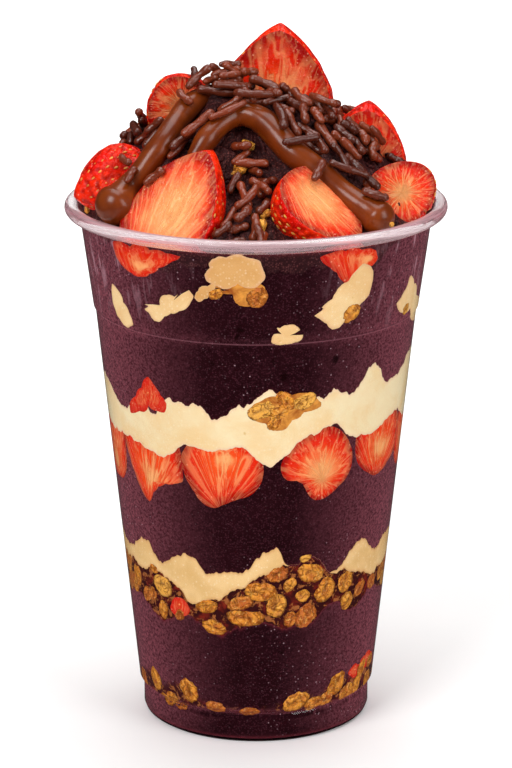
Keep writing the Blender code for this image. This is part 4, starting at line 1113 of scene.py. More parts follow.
def tube(curve, columns, capRings):
    # A closed tube with round ends; curve rows are x, y, z, radius
    heading = np.gradient(curve[:, :3], axis=0)
    heading /= np.linalg.norm(heading, axis=1)[:, None]
    side = np.cross(heading[0], (0, 0, 1) if abs(heading[0][2]) < 0.9 else (1, 0, 0))
    turn = ringTurns(columns)
    rings = []
    last = len(curve) - 1
    for i, (spot, ahead) in enumerate(zip(curve, heading)):
        side = side - side.dot(ahead) * ahead
        side /= np.linalg.norm(side)
        over = np.cross(ahead, side)
        circle = np.cos(turn)[:, None] * side + np.sin(turn)[:, None] * over
        steps = [(0.0, 1.0)]
        if i in (0, last):
            bows = [math.radians(90 * k / (capRings + 1)) for k in range(1, capRings + 1)]
            sign = -1 if i == 0 else 1
            caps = [(sign * math.sin(bow), math.cos(bow)) for bow in bows]
            steps = caps[::-1] + steps if i == 0 else steps + caps
        for shift, girth in steps:
            rings.append(spot[:3] + spot[3] * (shift * ahead + girth * circle))
    ends = [curve[0][:3] - heading[0] * curve[0][3], curve[-1][:3] + heading[-1] * curve[-1][3]]
    return closedShell(rings, ends)


print("piping the chocolate")
for name, knots in ropes.items():
    curve = smoothCurve(np.array(knots) * mm, rope["steps"])
    thick = layeredNoise(curve[:, :3], 6 * mm, 2, 71)
    curve[:, 3] *= 1 + rope["lumps"] * thick
    points, faces = tube(curve, rope["around"], rope["capRings"])
    points = pressedIn(points, -0.3 * mm)
    landing["ropes"].append(makePiece(name, points, faces, chocolate, ("acai_top",)))

# Sprinkles: each is dropped on what lies under it and rests there, so they pile up in drifts

sprinkle = {"radius": 1.05 * mm, "shortest": 4.6 * mm, "longest": 10.0 * mm, "columns": 9, "steps": 9,
            "bend": 0.9 * mm, "cell": 0.5 * mm, "reach": 47 * mm, "steepest": 1.25, "bridge": 2.4 * mm,
            "pile": 3.3 * mm, "seenPile": 5.0 * mm, "offSpread": 0.85, "seed": 19, "gridEdge": 46 * mm,
            "inside": 43.0 * mm, "lowest": 0.125, "above": 0.25, "pixelsPerTurn": 3203, "tries": 6,
            "yawSpread": 38, "grazingSheen": 1.7, "stretch": 1.08}

# Drifts: middle x and y, spread, how many, usual direction in degrees, all in mm; berries are kept free
drifts = [
    (-10.0, 2.5, 4.0, 40, 0), (0.0, 0.0, 5.0, 50, -20), (9.0, -3.5, 4.5, 50, -35),
    (15.0, -8.0, 4.0, 56, -40), (21.0, -13.0, 3.6, 48, -40), (24.0, -6.0, 4.5, 48, -35),
    (29.0, -18.0, 3.0, 22, -35), (18.0, 1.0, 4.5, 30, -20), (-32.0, 3.0, 4.5, 22, 30),
    (-29.0, 6.0, 3.0, 16, 40), (-25.0, -3.0, 3.0, 12, 35), (-17.0, -16.5, 2.2, 8, 35),
    (-24.0, -18.0, 2.0, 6, 35), (0.0, -26.0, 3.2, 20, 90), (-1.0, -33.0, 3.2, 26, 70),
    (2.0, -39.0, 3.6, 22, 10), (-4.0, -18.0, 3.0, 9, -30), (-42.0, -6.0, 2.0, 5, 60),
    (-38.0, -22.0, 2.5, 6, 40), (36.0, -22.0, 2.5, 6, -30), (33.0, -1.0, 3.5, 12, -30),
    (10.0, 26.0, 8.0, 30, 0), (-8.0, 28.0, 8.0, 30, 90), (-34.0, 14.0, 5.0, 14, 60),
    (36.0, 16.0, 5.0, 14, 120), (0.0, 38.0, 8.0, 26, 10), (-12.0, 14.0, 6.0, 22, 40),
    (18.0, 14.0, 6.0, 20, 10),
]
# Those that can be made out one by one in the photo: the two ends, in its pixels
seenSprinkles = [
    (186, 69, 204, 74), (194, 76, 193, 84), (201, 80, 209, 86), (205, 76, 218, 86), (193, 99, 218, 90),
    (176, 117, 186, 106), (209, 115, 219, 98), (221, 97, 240, 94), (240, 94, 259, 97), (201, 117, 192, 133),
    (208, 139, 248, 158), (179, 157, 201, 147), (165, 180, 176, 163), (145, 191, 162, 178),
    (87, 160, 95, 148), (101, 145, 118, 144), (122, 144, 133, 135), (137, 138, 147, 131),
    (140, 146, 150, 143), (119, 164, 131, 179), (127, 189, 134, 180), (135, 207, 142, 200),
    (102, 187, 123, 179), (237, 182, 268, 172), (229, 188, 244, 212), (244, 206, 262, 185),
    (248, 225, 257, 206), (256, 126, 254, 159), (257, 125, 263, 150), (244, 90, 259, 80),
    (248, 104, 270, 97), (263, 90, 275, 98), (273, 96, 289, 116), (288, 100, 310, 112),
    (295, 110, 316, 125), (286, 124, 298, 115), (310, 113, 335, 128), (298, 137, 314, 138),
    (311, 130, 330, 143), (328, 140, 347, 152), (306, 144, 328, 168), (333, 155, 342, 182),
    (340, 155, 368, 171), (348, 152, 366, 159), (366, 155, 388, 162), (389, 163, 403, 183),
    (342, 165, 360, 182), (347, 177, 371, 195), (324, 172, 313, 192), (332, 190, 343, 206),
    (342, 204, 352, 220), (364, 218, 352, 232), (348, 194, 365, 202), (322, 111, 341, 116),
    (337, 118, 355, 107), (329, 94, 331, 103), (244, 200, 261, 186), (247, 222, 258, 204),
    (262, 240, 284, 238), (232, 236, 244, 228), (268, 108, 281, 118), (300, 120, 318, 134),
    (318, 122, 334, 134), (322, 150, 336, 166), (352, 184, 368, 180), (276, 106, 296, 108),
]


def landingTree():
    points, faces, kinds = [], [], []
    for kind, pieces in landing.items():
        for piece in pieces:
            first = len(points)
            points += [tuple(v.co) for v in piece.data.vertices]
            faces += [tuple(first + i for i in face.vertices) for face in piece.data.polygons]
            kinds += [kind] * len(piece.data.polygons)
    return BVHTree.FromPolygons(points, faces), kinds


def surfaceGrid(tree, kinds):
    # Heights straight down on a grid, and what lies there: 1 for a berry, 2 for the spread
    steps = int(2 * sprinkle["reach"] / sprinkle["cell"]) + 1
    heights = np.full((steps, steps), sprinkle["lowest"])
    covered = np.zeros((steps, steps), dtype=int)
    for i in range(steps):
        for j in range(steps):
            x, y = (np.array((i, j)) * sprinkle["cell"] - sprinkle["reach"]).tolist()
            if math.hypot(x, y) > sprinkle["gridEdge"]:
                continue
            hit = tree.ray_cast((x, y, sprinkle["above"]), (0, 0, -1))
            if hit[0] is not None:
                heights[i, j] = hit[0][2]
                covered[i, j] = {"heap": 0, "berries": 1, "ropes": 2}[kinds[hit[2]]]
    return heights, covered


def cellsAt(points):
    return tuple(np.clip(np.round((points + sprinkle["reach"]) / sprinkle["cell"]).astype(int), 0,
                         int(2 * sprinkle["reach"] / sprinkle["cell"])).T)


def rodWays(yaw):
    # The way that a rod lying flat points, and the way across it
    return np.array((math.cos(yaw), math.sin(yaw))), np.array((-math.sin(yaw), math.cos(yaw)))


def restingPlace(heights, x, y, yaw, length):
    # The tilt that lets a rod of that length lie lowest without sinking in
    along = np.linspace(-0.5, 0.5, 13) * length
    heading, aside = rodWays(yaw)
    under = np.full(len(along), -1.0)
    for shift in (-0.5 * mm, 0.0, 0.5 * mm):
        spots = np.array((x, y)) + along[:, None] * heading + shift * aside
        under = np.maximum(under, heights[cellsAt(spots)])
    tilts = np.linspace(-sprinkle["steepest"], sprinkle["steepest"], 41)
    middles = (under[None] - tilts[:, None] * along[None]).max(axis=1)
    best = int(np.argmin(middles))
    return middles[best], tilts[best]


def rodMesh(own, middle, yaw, tilt, length, radius):
    # A lumpy little noodle, a bit bent
    heading = np.array((math.cos(yaw), math.sin(yaw), tilt))
    heading /= np.linalg.norm(heading)
    aside = np.array((-math.sin(yaw), math.cos(yaw), 0))
    steps = np.linspace(-0.5, 0.5, sprinkle["steps"])
    bend = own.uniform(-1, 1) * sprinkle["bend"] * length / sprinkle["longest"]
    phase = own.uniform(0, 6.28)
    rows = []
    for t in steps:
        place = middle + heading * t * (length - 1.2 * radius) + aside * bend * (1 - 4 * t * t)
        girth = radius * (1 + 0.13 * math.sin(9 * t + phase) + own.uniform(-0.07, 0.07))
        rows.append((*place, girth))
    points, faces = tube(np.array(rows), sprinkle["columns"], 2)
    return points, faces, np.full((len(points), 3), own.random())


def dropSprinkles(tree, kinds):
    own = random.Random(sprinkle["seed"])
    heights, covered = surfaceGrid(tree, kinds)
    bare = heights.copy()
    parts = []

    def drop(x, y, yaw, length, pile):
        height, tilt = restingPlace(heights, x, y, yaw, length)
        radius = sprinkle["radius"] * own.uniform(0.88, 1.1)
        spot = cellsAt(np.array([[x, y]]))
        hangs = height - heights[spot][0] > sprinkle["bridge"] or abs(tilt) >= sprinkle["steepest"] * 0.98
        if hangs or height - bare[spot][0] > pile:
            return False
        lift = radius * 0.86 * math.sqrt(1 + tilt * tilt)
        parts.append(rodMesh(own, np.array((x, y, height + lift)), yaw, tilt, length, radius))
        along = np.linspace(-0.5, 0.5, 21) * length
        heading, aside = rodWays(yaw)
        for shift in np.linspace(-0.9, 0.9, 5):
            spots = np.array((x, y)) + along[:, None] * heading + shift * radius * aside
            cells = cellsAt(spots)
            top = height + lift + tilt * along + radius * math.sqrt(1 - shift * shift)
            heights[cells] = np.maximum(heights[cells], top)
        return True

    for x, y, spread, count, usual in drifts:
        made = 0
        for _ in range(count * sprinkle["tries"]):
            if made == count:
                break
            px, py = own.gauss(x, spread) * mm, own.gauss(y, spread) * mm
            length = own.uniform(sprinkle["shortest"], sprinkle["longest"])
            if math.hypot(px, py) + length * 0.35 > sprinkle["inside"]:
                continue
            yaw = math.radians(usual + own.gauss(0, sprinkle["yawSpread"]))
            ends = np.array((px, py)) + np.array([[-0.45], [0.0], [0.45]]) * length * rodWays(yaw)[0]
            under = covered[cellsAt(ends)]
            if (under == 1).any() or ((under == 2).any() and own.random() < sprinkle["offSpread"]):
                continue
            made += drop(px, py, yaw, length, sprinkle["pile"])
    placed = 0
    for x1, y1, x2, y2 in seenSprinkles:
        spots = ((x1, y1), (x2, y2), ((x1 + x2) / 2, (y1 + y2) / 2))
        hits = [tree.ray_cast(*sightLine(*spot))[0] for spot in spots]
        if hits[2] is None:
            continue
        first, second = [np.array(hit or hits[2]) for hit in hits[:2]]
        away = float(np.linalg.norm(np.array(hits[2]) - cameraSettings["place"]))
        scale = away / sprinkle["pixelsPerTurn"]
        flat = second[:2] - first[:2]
        seen = math.hypot(x2 - x1, y2 - y1)
        missed = hits[0] is None or hits[1] is None
        if np.linalg.norm(second - first) > sprinkle["grazingSheen"] * seen * scale or missed:
            flat = np.array((x2 - x1, 0.6 * (y1 - y2))) * scale
        length = min(max(sprinkle["stretch"] * seen * scale, sprinkle["shortest"]), sprinkle["longest"])
        placed += drop(hits[2][0], hits[2][1], math.atan2(flat[1], flat[0]), length, sprinkle["seenPile"])
    points, faces, maps = joinMeshes(parts)
    print("sprinkles", len(parts), "of which seen", placed)
    makePiece("chocolateSprinkles", points, faces, sprinkleCoat, ("acai_top",),
              {"sprinkleMap": maps})


def lumpMesh(own, middle, radius):
    # A crumb: a small lumpy ball, longer one way
    unit, faces = tube(np.array([(0, 0, z, 0.62) for z in (-0.4, 0.0, 0.4)]), 9, 2)
    offset = np.array([own.uniform(0, 50) for _ in range(3)])
    lumpy = unit * (1 + 0.28 * layeredNoise(unit + offset, 0.8, 2, 5))[:, None]
    tip = Matrix.Rotation(own.uniform(0, 3.1), 3, "X")
    turn = np.array(tip @ Matrix.Rotation(own.uniform(0, 6.2), 3, "Z"))
    return lumpy @ turn * radius + middle, faces, np.tile((own.random(), 0, 1), (len(unit), 1))


# Crumbs of the sorbet lie loose on the heap, and granola shows in the hollow:
# place in the photo's pixels, half width in mm
crumb = {"count": 340, "smallest": 0.45 * mm, "largest": 1.25 * mm, "seed": 41,
         "side": 43, "back": 20, "reach": 42.5 * mm}
granolaSeen = [(248, 148, 2.0), (241, 170, 2.5), (236, 176, 1.6), (262, 230, 1.8), (266, 216, 1.5),
               (88, 210, 1.4), (246, 214, 1.3), (391, 226, 1.2), (300, 241, 1.3)]


def scatterCrumbs(tree, kinds):
    own = random.Random(crumb["seed"])
    parts = []
    while len(parts) < crumb["count"]:
        x, y = own.uniform(-crumb["side"], crumb["side"]) * mm, own.uniform(-crumb["side"],
                                                                            crumb["back"]) * mm
        hit = tree.ray_cast((x, y, sprinkle["above"]), (0, 0, -1))
        if math.hypot(x, y) > crumb["reach"] or hit[0] is None or kinds[hit[2]] != "heap":
            continue
        radius = own.uniform(0.3, 1) ** 1.6 * (crumb["largest"] - crumb["smallest"]) + crumb["smallest"]
        parts.append(lumpMesh(own, np.array(hit[0]) + (0, 0, 0.35 * radius), radius))
    points, faces, maps = joinMeshes(parts)
    makePiece("acaiCrumbs", points, faces, acai, (), {"fillMap": maps * (0, 0, 1)})
    bits = []
    for px, py, half in granolaSeen:
        hit = tree.ray_cast(*sightLine(px, py))
        if hit[0] is not None:
            bits.append(lumpMesh(own, np.array(hit[0]) + (0, 0, 0.4 * half * mm), half * mm))
    points, faces, maps = joinMeshes(bits)
    makePiece("granolaOnTop", points, faces, granola, (), {"flakeMap": maps * (0.3, 0, 0)})


print("dropping the sprinkles")
onTop = landingTree()
dropSprinkles(*onTop)
scatterCrumbs(*onTop)

# What shows at the wall: strawberry slices, cream patches and tucked pieces, as pads curved to the cup

pad = {"rings": 18, "columns": 112, "round": 0.9 * mm, "sliceDepth": 5.5 * mm, "sliceLift": 0.05 * mm,
       "creamDepth": 1.4 * mm, "creamLift": 0.14 * mm, "creamCoarse": 0.05 * mm, "honeyDepth": 1.2 * mm}


def wallPad(name, middle, height, outline, depth, lift, material, slot, nodes, coarse=0.0, seed=0,
            core=None, fanFrom=None):
    # outline(turn) gives the reach (along the wall, up) in metres; the rim rolls back from the cup
    turns = ringTurns(pad["columns"])
    sideways, upward = outline(turns)
    rows = [(share, 0.0) for share in np.linspace(0.06, 0.93, pad["rings"])]
    rows += [(0.965, 0.05), (0.99, 0.25), (1.0, 0.62), (0.985, 1.2), (0.93, 0.55 * depth / pad["round"]),
             (0.72, 0.9 * depth / pad["round"]), (0.35, depth / pad["round"])]
    rings, flats, skins = [], [], []
    for share, back in rows:
        up = height + upward * share
        radius = fillRadius(up, lift)
        degrees = middle + np.degrees(sideways * share / radius)
        spots = around(degrees, radius, up)
        ruffle = layeredNoise(spots, 1.3 * mm, 2, 60 + seed) * coarse
        sink = back * pad["round"] + np.maximum(ruffle, 0) * (1 if back == 0 else 0)
        rings.append(around(degrees, radius - sink, up))
        flats.append(np.stack((sideways, upward), axis=-1) * share)
        skins.append(np.full(len(turns), min(1.0, back * 1.6)))
    points, faces = closedShell(rings, [rings[0].mean(0), rings[-1].mean(0)], flip=True)
    if slot == "strawberry":
        maps = faceMaps(np.concatenate(flats + [[flats[0].mean(0)], [flats[-1].mean(0)]]), np.array(core),
                        np.array(fanFrom), np.stack((sideways, upward), axis=-1),
                        np.concatenate(skins + [[0, 1]]))
        return makePiece(name, points, faces, material, nodes, maps)
    fades = [np.full(len(turns), math.exp(-((1 - row[0]) / 0.1) ** 2)) for row in rows]
    rim = np.concatenate(fades + [[0, 1]])
    return makePiece(name, points, faces, material, nodes, {"fillMap": np.outer(rim, (1, 0, 0))})


def seenOutline(corners, rough, seed):
    # An outline drawn over the photo, in its pixels, as middle, height and reach for a pad on the wall
    places = np.array([onWall(*corner) for corner in corners])
    middle, height = places.mean(0)
    side = np.radians(places[:, 0] - middle) * float(fillRadius(height))
    rise = places[:, 1] - height
    angles, reaches = np.arctan2(rise, side), np.hypot(side, rise)

    def outline(turns):
        reach = np.interp(turns, angles, reaches, period=2 * math.pi)
        level = np.full_like(turns, seed * 7 * mm)
        spots = np.stack((np.cos(turns) * reach, np.sin(turns) * reach, level), axis=-1)
        reach = reach + rough * layeredNoise(spots, 1.5 * mm, 3, 9)
        return np.cos(turns) * reach, np.sin(turns) * reach

    return middle, height, outline


def onPad(spot, middle, height):
    # A pixel of the photo, as a place on a pad
    degrees, up = onWall(*spot)
    return math.radians(degrees - middle) * float(fillRadius(height)), up - height


# The slices in front: outline, core and the place the veins run to, in the photo's pixels,
# then the size of the core and the spread of the veins
seenSlices = {
    2: ([(124, 428), (140, 424), (160, 428), (178, 438), (183, 455), (184, 470), (184, 482), (176, 484),
        (166, 484), (159, 487), (154, 493), (151, 503), (147, 499), (141, 487), (135, 471), (130, 455),
        (126, 440)], (152, 480), (151, 508), 0.35, 1.7),
    3: ([(180, 452), (186, 443), (205, 438), (230, 438), (250, 445), (264, 460), (266, 470), (264, 480),
        (259, 489), (251, 496), (241, 499), (231, 502), (223, 506), (214, 509), (207, 507), (200, 501),
        (194, 492), (188, 483), (183, 472), (180, 462)], (226, 458), (222, 512), 0.3, 1.5),
    4: ([(338, 426), (345, 432), (350, 440), (353, 450), (353, 460), (350, 471), (345, 480), (338, 487),
        (330, 495), (322, 500), (314, 501), (309, 497), (305, 489), (302, 484), (296, 481), (287, 481),
        (281, 476), (279, 467), (283, 455), (291, 444), (303, 434), (318, 427), (328, 424)], (322, 474),
        (322, 479), 0.64, 0.9),
    5: ([(356, 430), (354, 445), (355, 460), (360, 468), (367, 473), (374, 476), (380, 471), (386, 462),
        (392, 450), (395, 440), (398, 424), (395, 407), (384, 410), (370, 418), (361, 424)], (379, 448),
        (373, 482), 0.4, 1.9),
}
# The rest: middle and half width in degrees, height of the tip and of the widest place,
# size of the core and its height
slices = {
    1: (-74, 13.0, 66.2, 79.0, 0.3, 70.0), 6: (82, 13.0, 68.4, 80.0, 0.35, 74.0),
    7: (114.5, 15, 66.0, 79.5, 0.6, 72.0),
    8: (148, 17, 65.0, 79.0, 0.5, 68.0), 9: (182, 17, 66.0, 79.0, 0.7, 74.0),
    10: (216, 17, 65.0, 79.0, 0.45, 70.0),
    11: (250, 17, 66.0, 79.0, 0.6, 72.0),
}


def sliceOutline(halfWidth, down, up, seed):
    def outline(turns):
        side, rise = np.cos(turns), np.sin(turns)
        power = np.where(rise < 0, 1.45, 1.0)
        spots = np.stack((side, rise, np.full_like(side, seed * 3.1)), axis=-1)
        wander = 1 + 0.045 * layeredNoise(spots, 0.7, 2, 21)
        sideways = np.sign(side) * np.abs(side) ** (1 / power) * halfWidth * wander
        upward = np.where(rise < 0, -np.abs(rise) ** (1 / 0.95) * down, np.abs(rise) * up) * wander
        return sideways, upward
    return outline


print("pressing the slices against the cup")
for number, (corners, coreSeen, fanSeen, core, spread) in seenSlices.items():
    middle, height, outline = seenOutline(corners, 0.1 * mm, number)
    coat = strawberryMaterial("strawberrySlice" + str(number), core, spread, 5.3 * number, 0.1)
    wallPad("slice_" + str(number), middle, height, outline, pad["sliceDepth"], pad["sliceLift"], coat,
            "strawberry", ("strawberry_slice_" + str(number),), seed=number,
            core=onPad(coreSeen, middle, height), fanFrom=onPad(fanSeen, middle, height))
for number, (middle, half, tip, wide, core, coreHeight) in slices.items():
    reach = math.radians(half) * float(fillRadius(wide * mm))
    coat = strawberryMaterial("strawberrySlice" + str(number), core, 1.4, 5.3 * number, 0.1)
    wallPad("slice_" + str(number), middle, wide * mm, sliceOutline(reach, (wide - tip) * mm, 9.5 * mm,
                                                                    number), pad["sliceDepth"],
            pad["sliceLift"], coat, "strawberry", ("strawberry_slice_" + str(number),), seed=number,
            core=(0, (coreHeight - wide) * mm), fanFrom=(0, (tip - wide - 1.5 * (number % 3)) * mm))

# Cream caught between the scoops: outlines in the photo's pixels in front;
# behind, middle and half width in degrees, height and half height in mm
seenPatches = {
    1: [(113, 283), (119, 290), (124, 302), (130, 313), (134, 325), (129, 328), (121, 319), (116, 309),
        (113, 296)],
    2: [(142, 304), (150, 306), (160, 305), (171, 303), (175, 297), (181, 292), (190, 289), (195, 295),
        (191, 303), (186, 309), (180, 311), (171, 313), (165, 316), (160, 322), (155, 321), (149, 313),
        (144, 309)],
    3: [(213, 258), (226, 257), (247, 257), (261, 260), (264, 269), (266, 279), (258, 287), (247, 288),
        (238, 284), (227, 289), (217, 286), (206, 281), (204, 275), (210, 268), (208, 262)],
    4: [(271, 342), (274, 334), (276, 327), (280, 328), (282, 334), (288, 336), (296, 335), (301, 330),
        (304, 334), (302, 339), (295, 342), (286, 344), (277, 345)],
    5: [(313, 315), (320, 309), (328, 307), (332, 299), (336, 291), (341, 285), (348, 281), (355, 271),
        (364, 262), (371, 264), (374, 274), (372, 284), (369, 294), (362, 302), (354, 309), (346, 318),
        (339, 328), (332, 330), (326, 324), (319, 319)],
    6: [(409, 275), (413, 283), (415, 295), (417, 304), (414, 313), (409, 308), (404, 312), (398, 311),
        (395, 304), (400, 297), (404, 290), (407, 282)],
}
patches = {7: (105, 11, 121.8, 4.0), 8: (150, 10, 116.4, 3.8), 9: (200, 12, 122.5, 4.4),
           10: (245, 10, 118.0, 4.0)}


# Honey beside the tucked granola and under the widest patch
seenHoney = {
    "honeyUpper": ([(246, 410), (256, 402), (275, 396), (290, 396), (305, 392), (322, 402), (322, 407),
        (305, 412), (292, 420), (284, 430), (272, 431), (264, 424), (250, 418)], 0.16),
    "honeyUnderPatch": ([(214, 288), (230, 290), (245, 288), (262, 284), (268, 292), (262, 298), (248, 292),
        (232, 294), (218, 292)], 0.08),
}


def patchOutline(halfWidth, halfHeight, seed):
    def outline(turns):
        spots = np.stack((np.cos(turns), np.sin(turns), np.full_like(turns, seed * 2.3)), axis=-1)
        rough = 1 + 0.22 * layeredNoise(spots, 0.9, 2, 9) + 0.1 * layeredNoise(spots, 0.22, 3, 11)
        return np.cos(turns) * halfWidth * rough, np.sin(turns) * halfHeight * rough
    return outline


def creamPad(name, middle, height, outline, nodes, seed, coat):
    wallPad(name, middle, height, outline, pad["creamDepth"], pad["creamLift"], coat, "cream", nodes,
            coarse=pad["creamCoarse"], seed=seed)


# Patch 3 and the tail lie under the rim and get the cream with painted shade
for number, corners in seenPatches.items():
    creamPad("creamPatch_" + str(number), *seenOutline(corners, 0.2 * mm, number),
             ("cream_patch_" + str(number),), number, creamShaded if number == 3 else creamPatch)
for number, (middle, half, height, tall) in patches.items():
    reach = math.radians(half) * float(fillRadius(height * mm))
    creamPad("creamPatch_" + str(number), middle, height * mm, patchOutline(reach, tall * mm, number),
             ("cream_patch_" + str(number),), number, creamPatch)
creamPad("creamTail", *seenOutline([(216, 282), (208, 286), (199, 291), (194, 298), (198, 302), (204, 299),
                                    (209, 293), (215, 289)], 0.2 * mm, 12), (), 12, creamShaded)

for number, (name, (corners, lift)) in enumerate(seenHoney.items(), 41):
    wallPad(name, *seenOutline(corners, 0.25 * mm, number), pad["honeyDepth"], lift * mm, amberSyrup,
            "granola", (), seed=number)

# Fruit at the wall: the front berries' lower ends under the rim, pieces tucked into the cream,
# chunks in the granola
tuckedRed = strawberryMaterial("strawberryTucked", 0.1, 2.0, 2.0, 0.1, 0.45, 0.75)
underRimRed = strawberryMaterial("strawberryUnderRim", 0.4, 1.6, 8.0, 0.1, 0.6, 0.45)
seenFruit = {
    "berryUnderRim": ([(318, 257), (330, 252), (345, 250), (362, 249), (377, 249), (379, 257), (374, 265),
        (368, 268), (358, 272), (352, 280), (347, 286), (341, 281), (336, 273), (328, 267), (320, 262)],
        (370, 258), (352, 300), 4.0, 0.02, ()),
    "tuckedStrawberry_1": ([(148, 376), (154, 384), (161, 395), (168, 404), (166, 413), (158, 411),
        (149, 405), (140, 411), (131, 413), (130, 404), (136, 396), (142, 387)], (149, 392), (150, 430),
        2.5, 0.2, ("strawberry_tucked_1",)),
    "berryUnderRimLeft": ([(112, 240), (130, 246), (150, 250), (168, 253), (184, 257), (172, 262),
        (160, 268), (150, 274), (141, 277), (131, 273), (123, 266), (116, 256)], (141, 268), (150, 330),
        4.0, 0.07, ()),
    "berryChunk_1": ([(172, 603), (176, 597), (182, 598), (188, 604), (190, 612), (184, 616), (176, 615),
        (171, 610)], (180, 604), (180, 640), 2.0, 0.16, ()),
    "berryChunk_2": ([(347, 673), (351, 667), (357, 664), (361, 667), (357, 673), (350, 676)], (354, 669),
        (350, 700), 2.0, 0.1, ()),
    "berryChunk_3": ([(359, 661), (364, 655), (369, 651), (371, 655), (367, 661), (361, 665)], (366, 657),
        (350, 700), 2.0, 0.1, ()),
}
coats = {"berryUnderRim": underRimRed, "berryUnderRimLeft": underRimRed}
for number, (name, (corners, coreSeen, fanSeen, depth, lift, nodes)) in enumerate(seenFruit.items(), 31):
    middle, height, outline = seenOutline(corners, 0.14 * mm, number)
    wallPad(name, middle, height, outline, depth * mm, lift * mm, coats.get(name, tuckedRed),
            "strawberry", nodes, seed=number,
            core=onPad(coreSeen, middle, height), fanFrom=onPad(fanSeen, middle, height))
wallPad("tuckedStrawberry_2", 164, 92.5 * mm, patchOutline(7.5 * mm, 4.6 * mm, 32), 2.5 * mm, 0.03 * mm,
        tuckedRed, "strawberry", ("strawberry_tucked_2",), seed=32, core=(0, 0), fanFrom=(0, -12 * mm))

# Granola: crisp flakes with a crease, pressed flat where they meet the cup

flake = {"thick": 1.7 * mm, "columns": 28, "rings": 16, "lumps": 0.15, "relief": 0.34 * mm,
         "give": 0.8 * mm, "tries": 4000, "bandFrom": 66, "bandTo": 292, "sunk": 0.55 * mm,
         "seenScale": 1.1}


def flakeMesh(own, length, width):
    # An oval flake: crinkled edge, a crease along its middle
    columns, rings = flake["columns"], flake["rings"]
    polar = np.linspace(0, math.pi, rings + 2)[1:-1]
    turn = ringTurns(columns)
    unit = np.stack((np.cos(polar)[:, None] + 0 * turn, np.sin(polar)[:, None] * np.cos(turn),
                     np.sin(polar)[:, None] * np.sin(turn)), axis=-1).reshape(-1, 3)
    unit = np.concatenate((unit, [[1, 0, 0], [-1, 0, 0]]))
    offset = np.array([own.uniform(0, 50) for _ in range(3)])
    lumpy = 1 + flake["lumps"] * layeredNoise(unit + offset, 0.85, 2, 3)
    lumpy = lumpy + 0.1 * layeredNoise(unit + offset, 0.24, 2, 5)
    curve = 0.1 * np.sin(2.2 * unit[:, 0] + own.uniform(0, 6))
    crease = np.exp(-((unit[:, 2] - curve) / 0.11) ** 2) * np.clip(1.3 - np.abs(unit[:, 0]) * 1.25, 0, 1)
    body = unit * np.array([length / 2, flake["thick"], width / 2]) * lumpy[:, None]
    body[:, 1] *= 1 - 0.3 * crease
    # Nearness to the outline, where the material paints shade
    rim = np.clip(1.25 - np.abs(unit[:, 1]) * 2.3, 0, 1)
    tone = np.full(len(unit), own.random())
    return body, shellFaces(rings, columns), np.stack((tone, crease * 0.85, rim * 0.8), axis=-1)


def pressedFlat(points):
    # What goes past the filling's radius is squeezed to a low dome inside the cup's wall
    radius = np.hypot(points[:, 0], points[:, 1])
    base = fillRadius(points[:, 2], 0.0)
    over = np.maximum(radius - base, 0)
    share = np.where(over > 0, (base + flake["relief"] * (1 - np.exp(-over / flake["give"]))) / radius, 1)
    return points * np.stack((share, share, 1 + 0 * share), axis=-1)


def placeFlake(own, degrees, height, length, width, tilt, sunk):
    # tilt is the flake's own direction against the horizontal, in degrees
    points, faces, maps = flakeMesh(own, length, width)
    turn = Matrix.Rotation(math.radians(-tilt), 3, "Y") @ Matrix.Rotation(own.uniform(-0.25, 0.25), 3, "X")
    facing = np.array(Matrix.Rotation(math.radians(degrees), 3, "Z") @ turn)
    middle = around(degrees, fillRadius(height) - sunk, height)
    return pressedFlat(points @ facing.T + middle), faces, maps


def flakeBand(name, lowAt, highAt, placed, nodes, seed, cover):
    # The flakes given for the front, then a jostled band of them round the sides and the back
    own = random.Random(seed)
    parts, taken = [], []
    for degrees, height, length, width, tilt in placed:
        sides = (length * flake["seenScale"] * mm, width * flake["seenScale"] * mm)
        parts.append(placeFlake(own, degrees, height * mm, *sides, tilt, flake["sunk"]))
        taken.append((degrees, height * mm, 0.5 * (length + width) * mm))
    for _ in range(flake["tries"]):
        degrees = own.uniform(flake["bandFrom"], flake["bandTo"])
        low, high = float(lowAt(degrees)) + 1.8 * mm, float(highAt(degrees)) - 1.6 * mm
        height = own.uniform(low, max(high, low + 0.5 * mm))
        length, width = own.uniform(5.0, 7.2) * mm, own.uniform(4.0, 5.4) * mm
        size = 0.5 * (length + width)
        radius = float(fillRadius(height))
        apart = [math.hypot(math.radians(degrees - d) * radius, height - h) > 0.5 * (size + other) * cover
                 for d, h, other in taken]
        if all(apart):
            tilt, sunk = own.uniform(-80, 80), own.uniform(0.4, 0.9) * mm
            parts.append(placeFlake(own, degrees, height, length, width, tilt, sunk))
            taken.append((degrees, height, size))
    points, faces, maps = joinMeshes(parts)
    print(name, len(parts), "flakes")
    makePiece(name, points, faces, granola, nodes, {"flakeMap": maps})


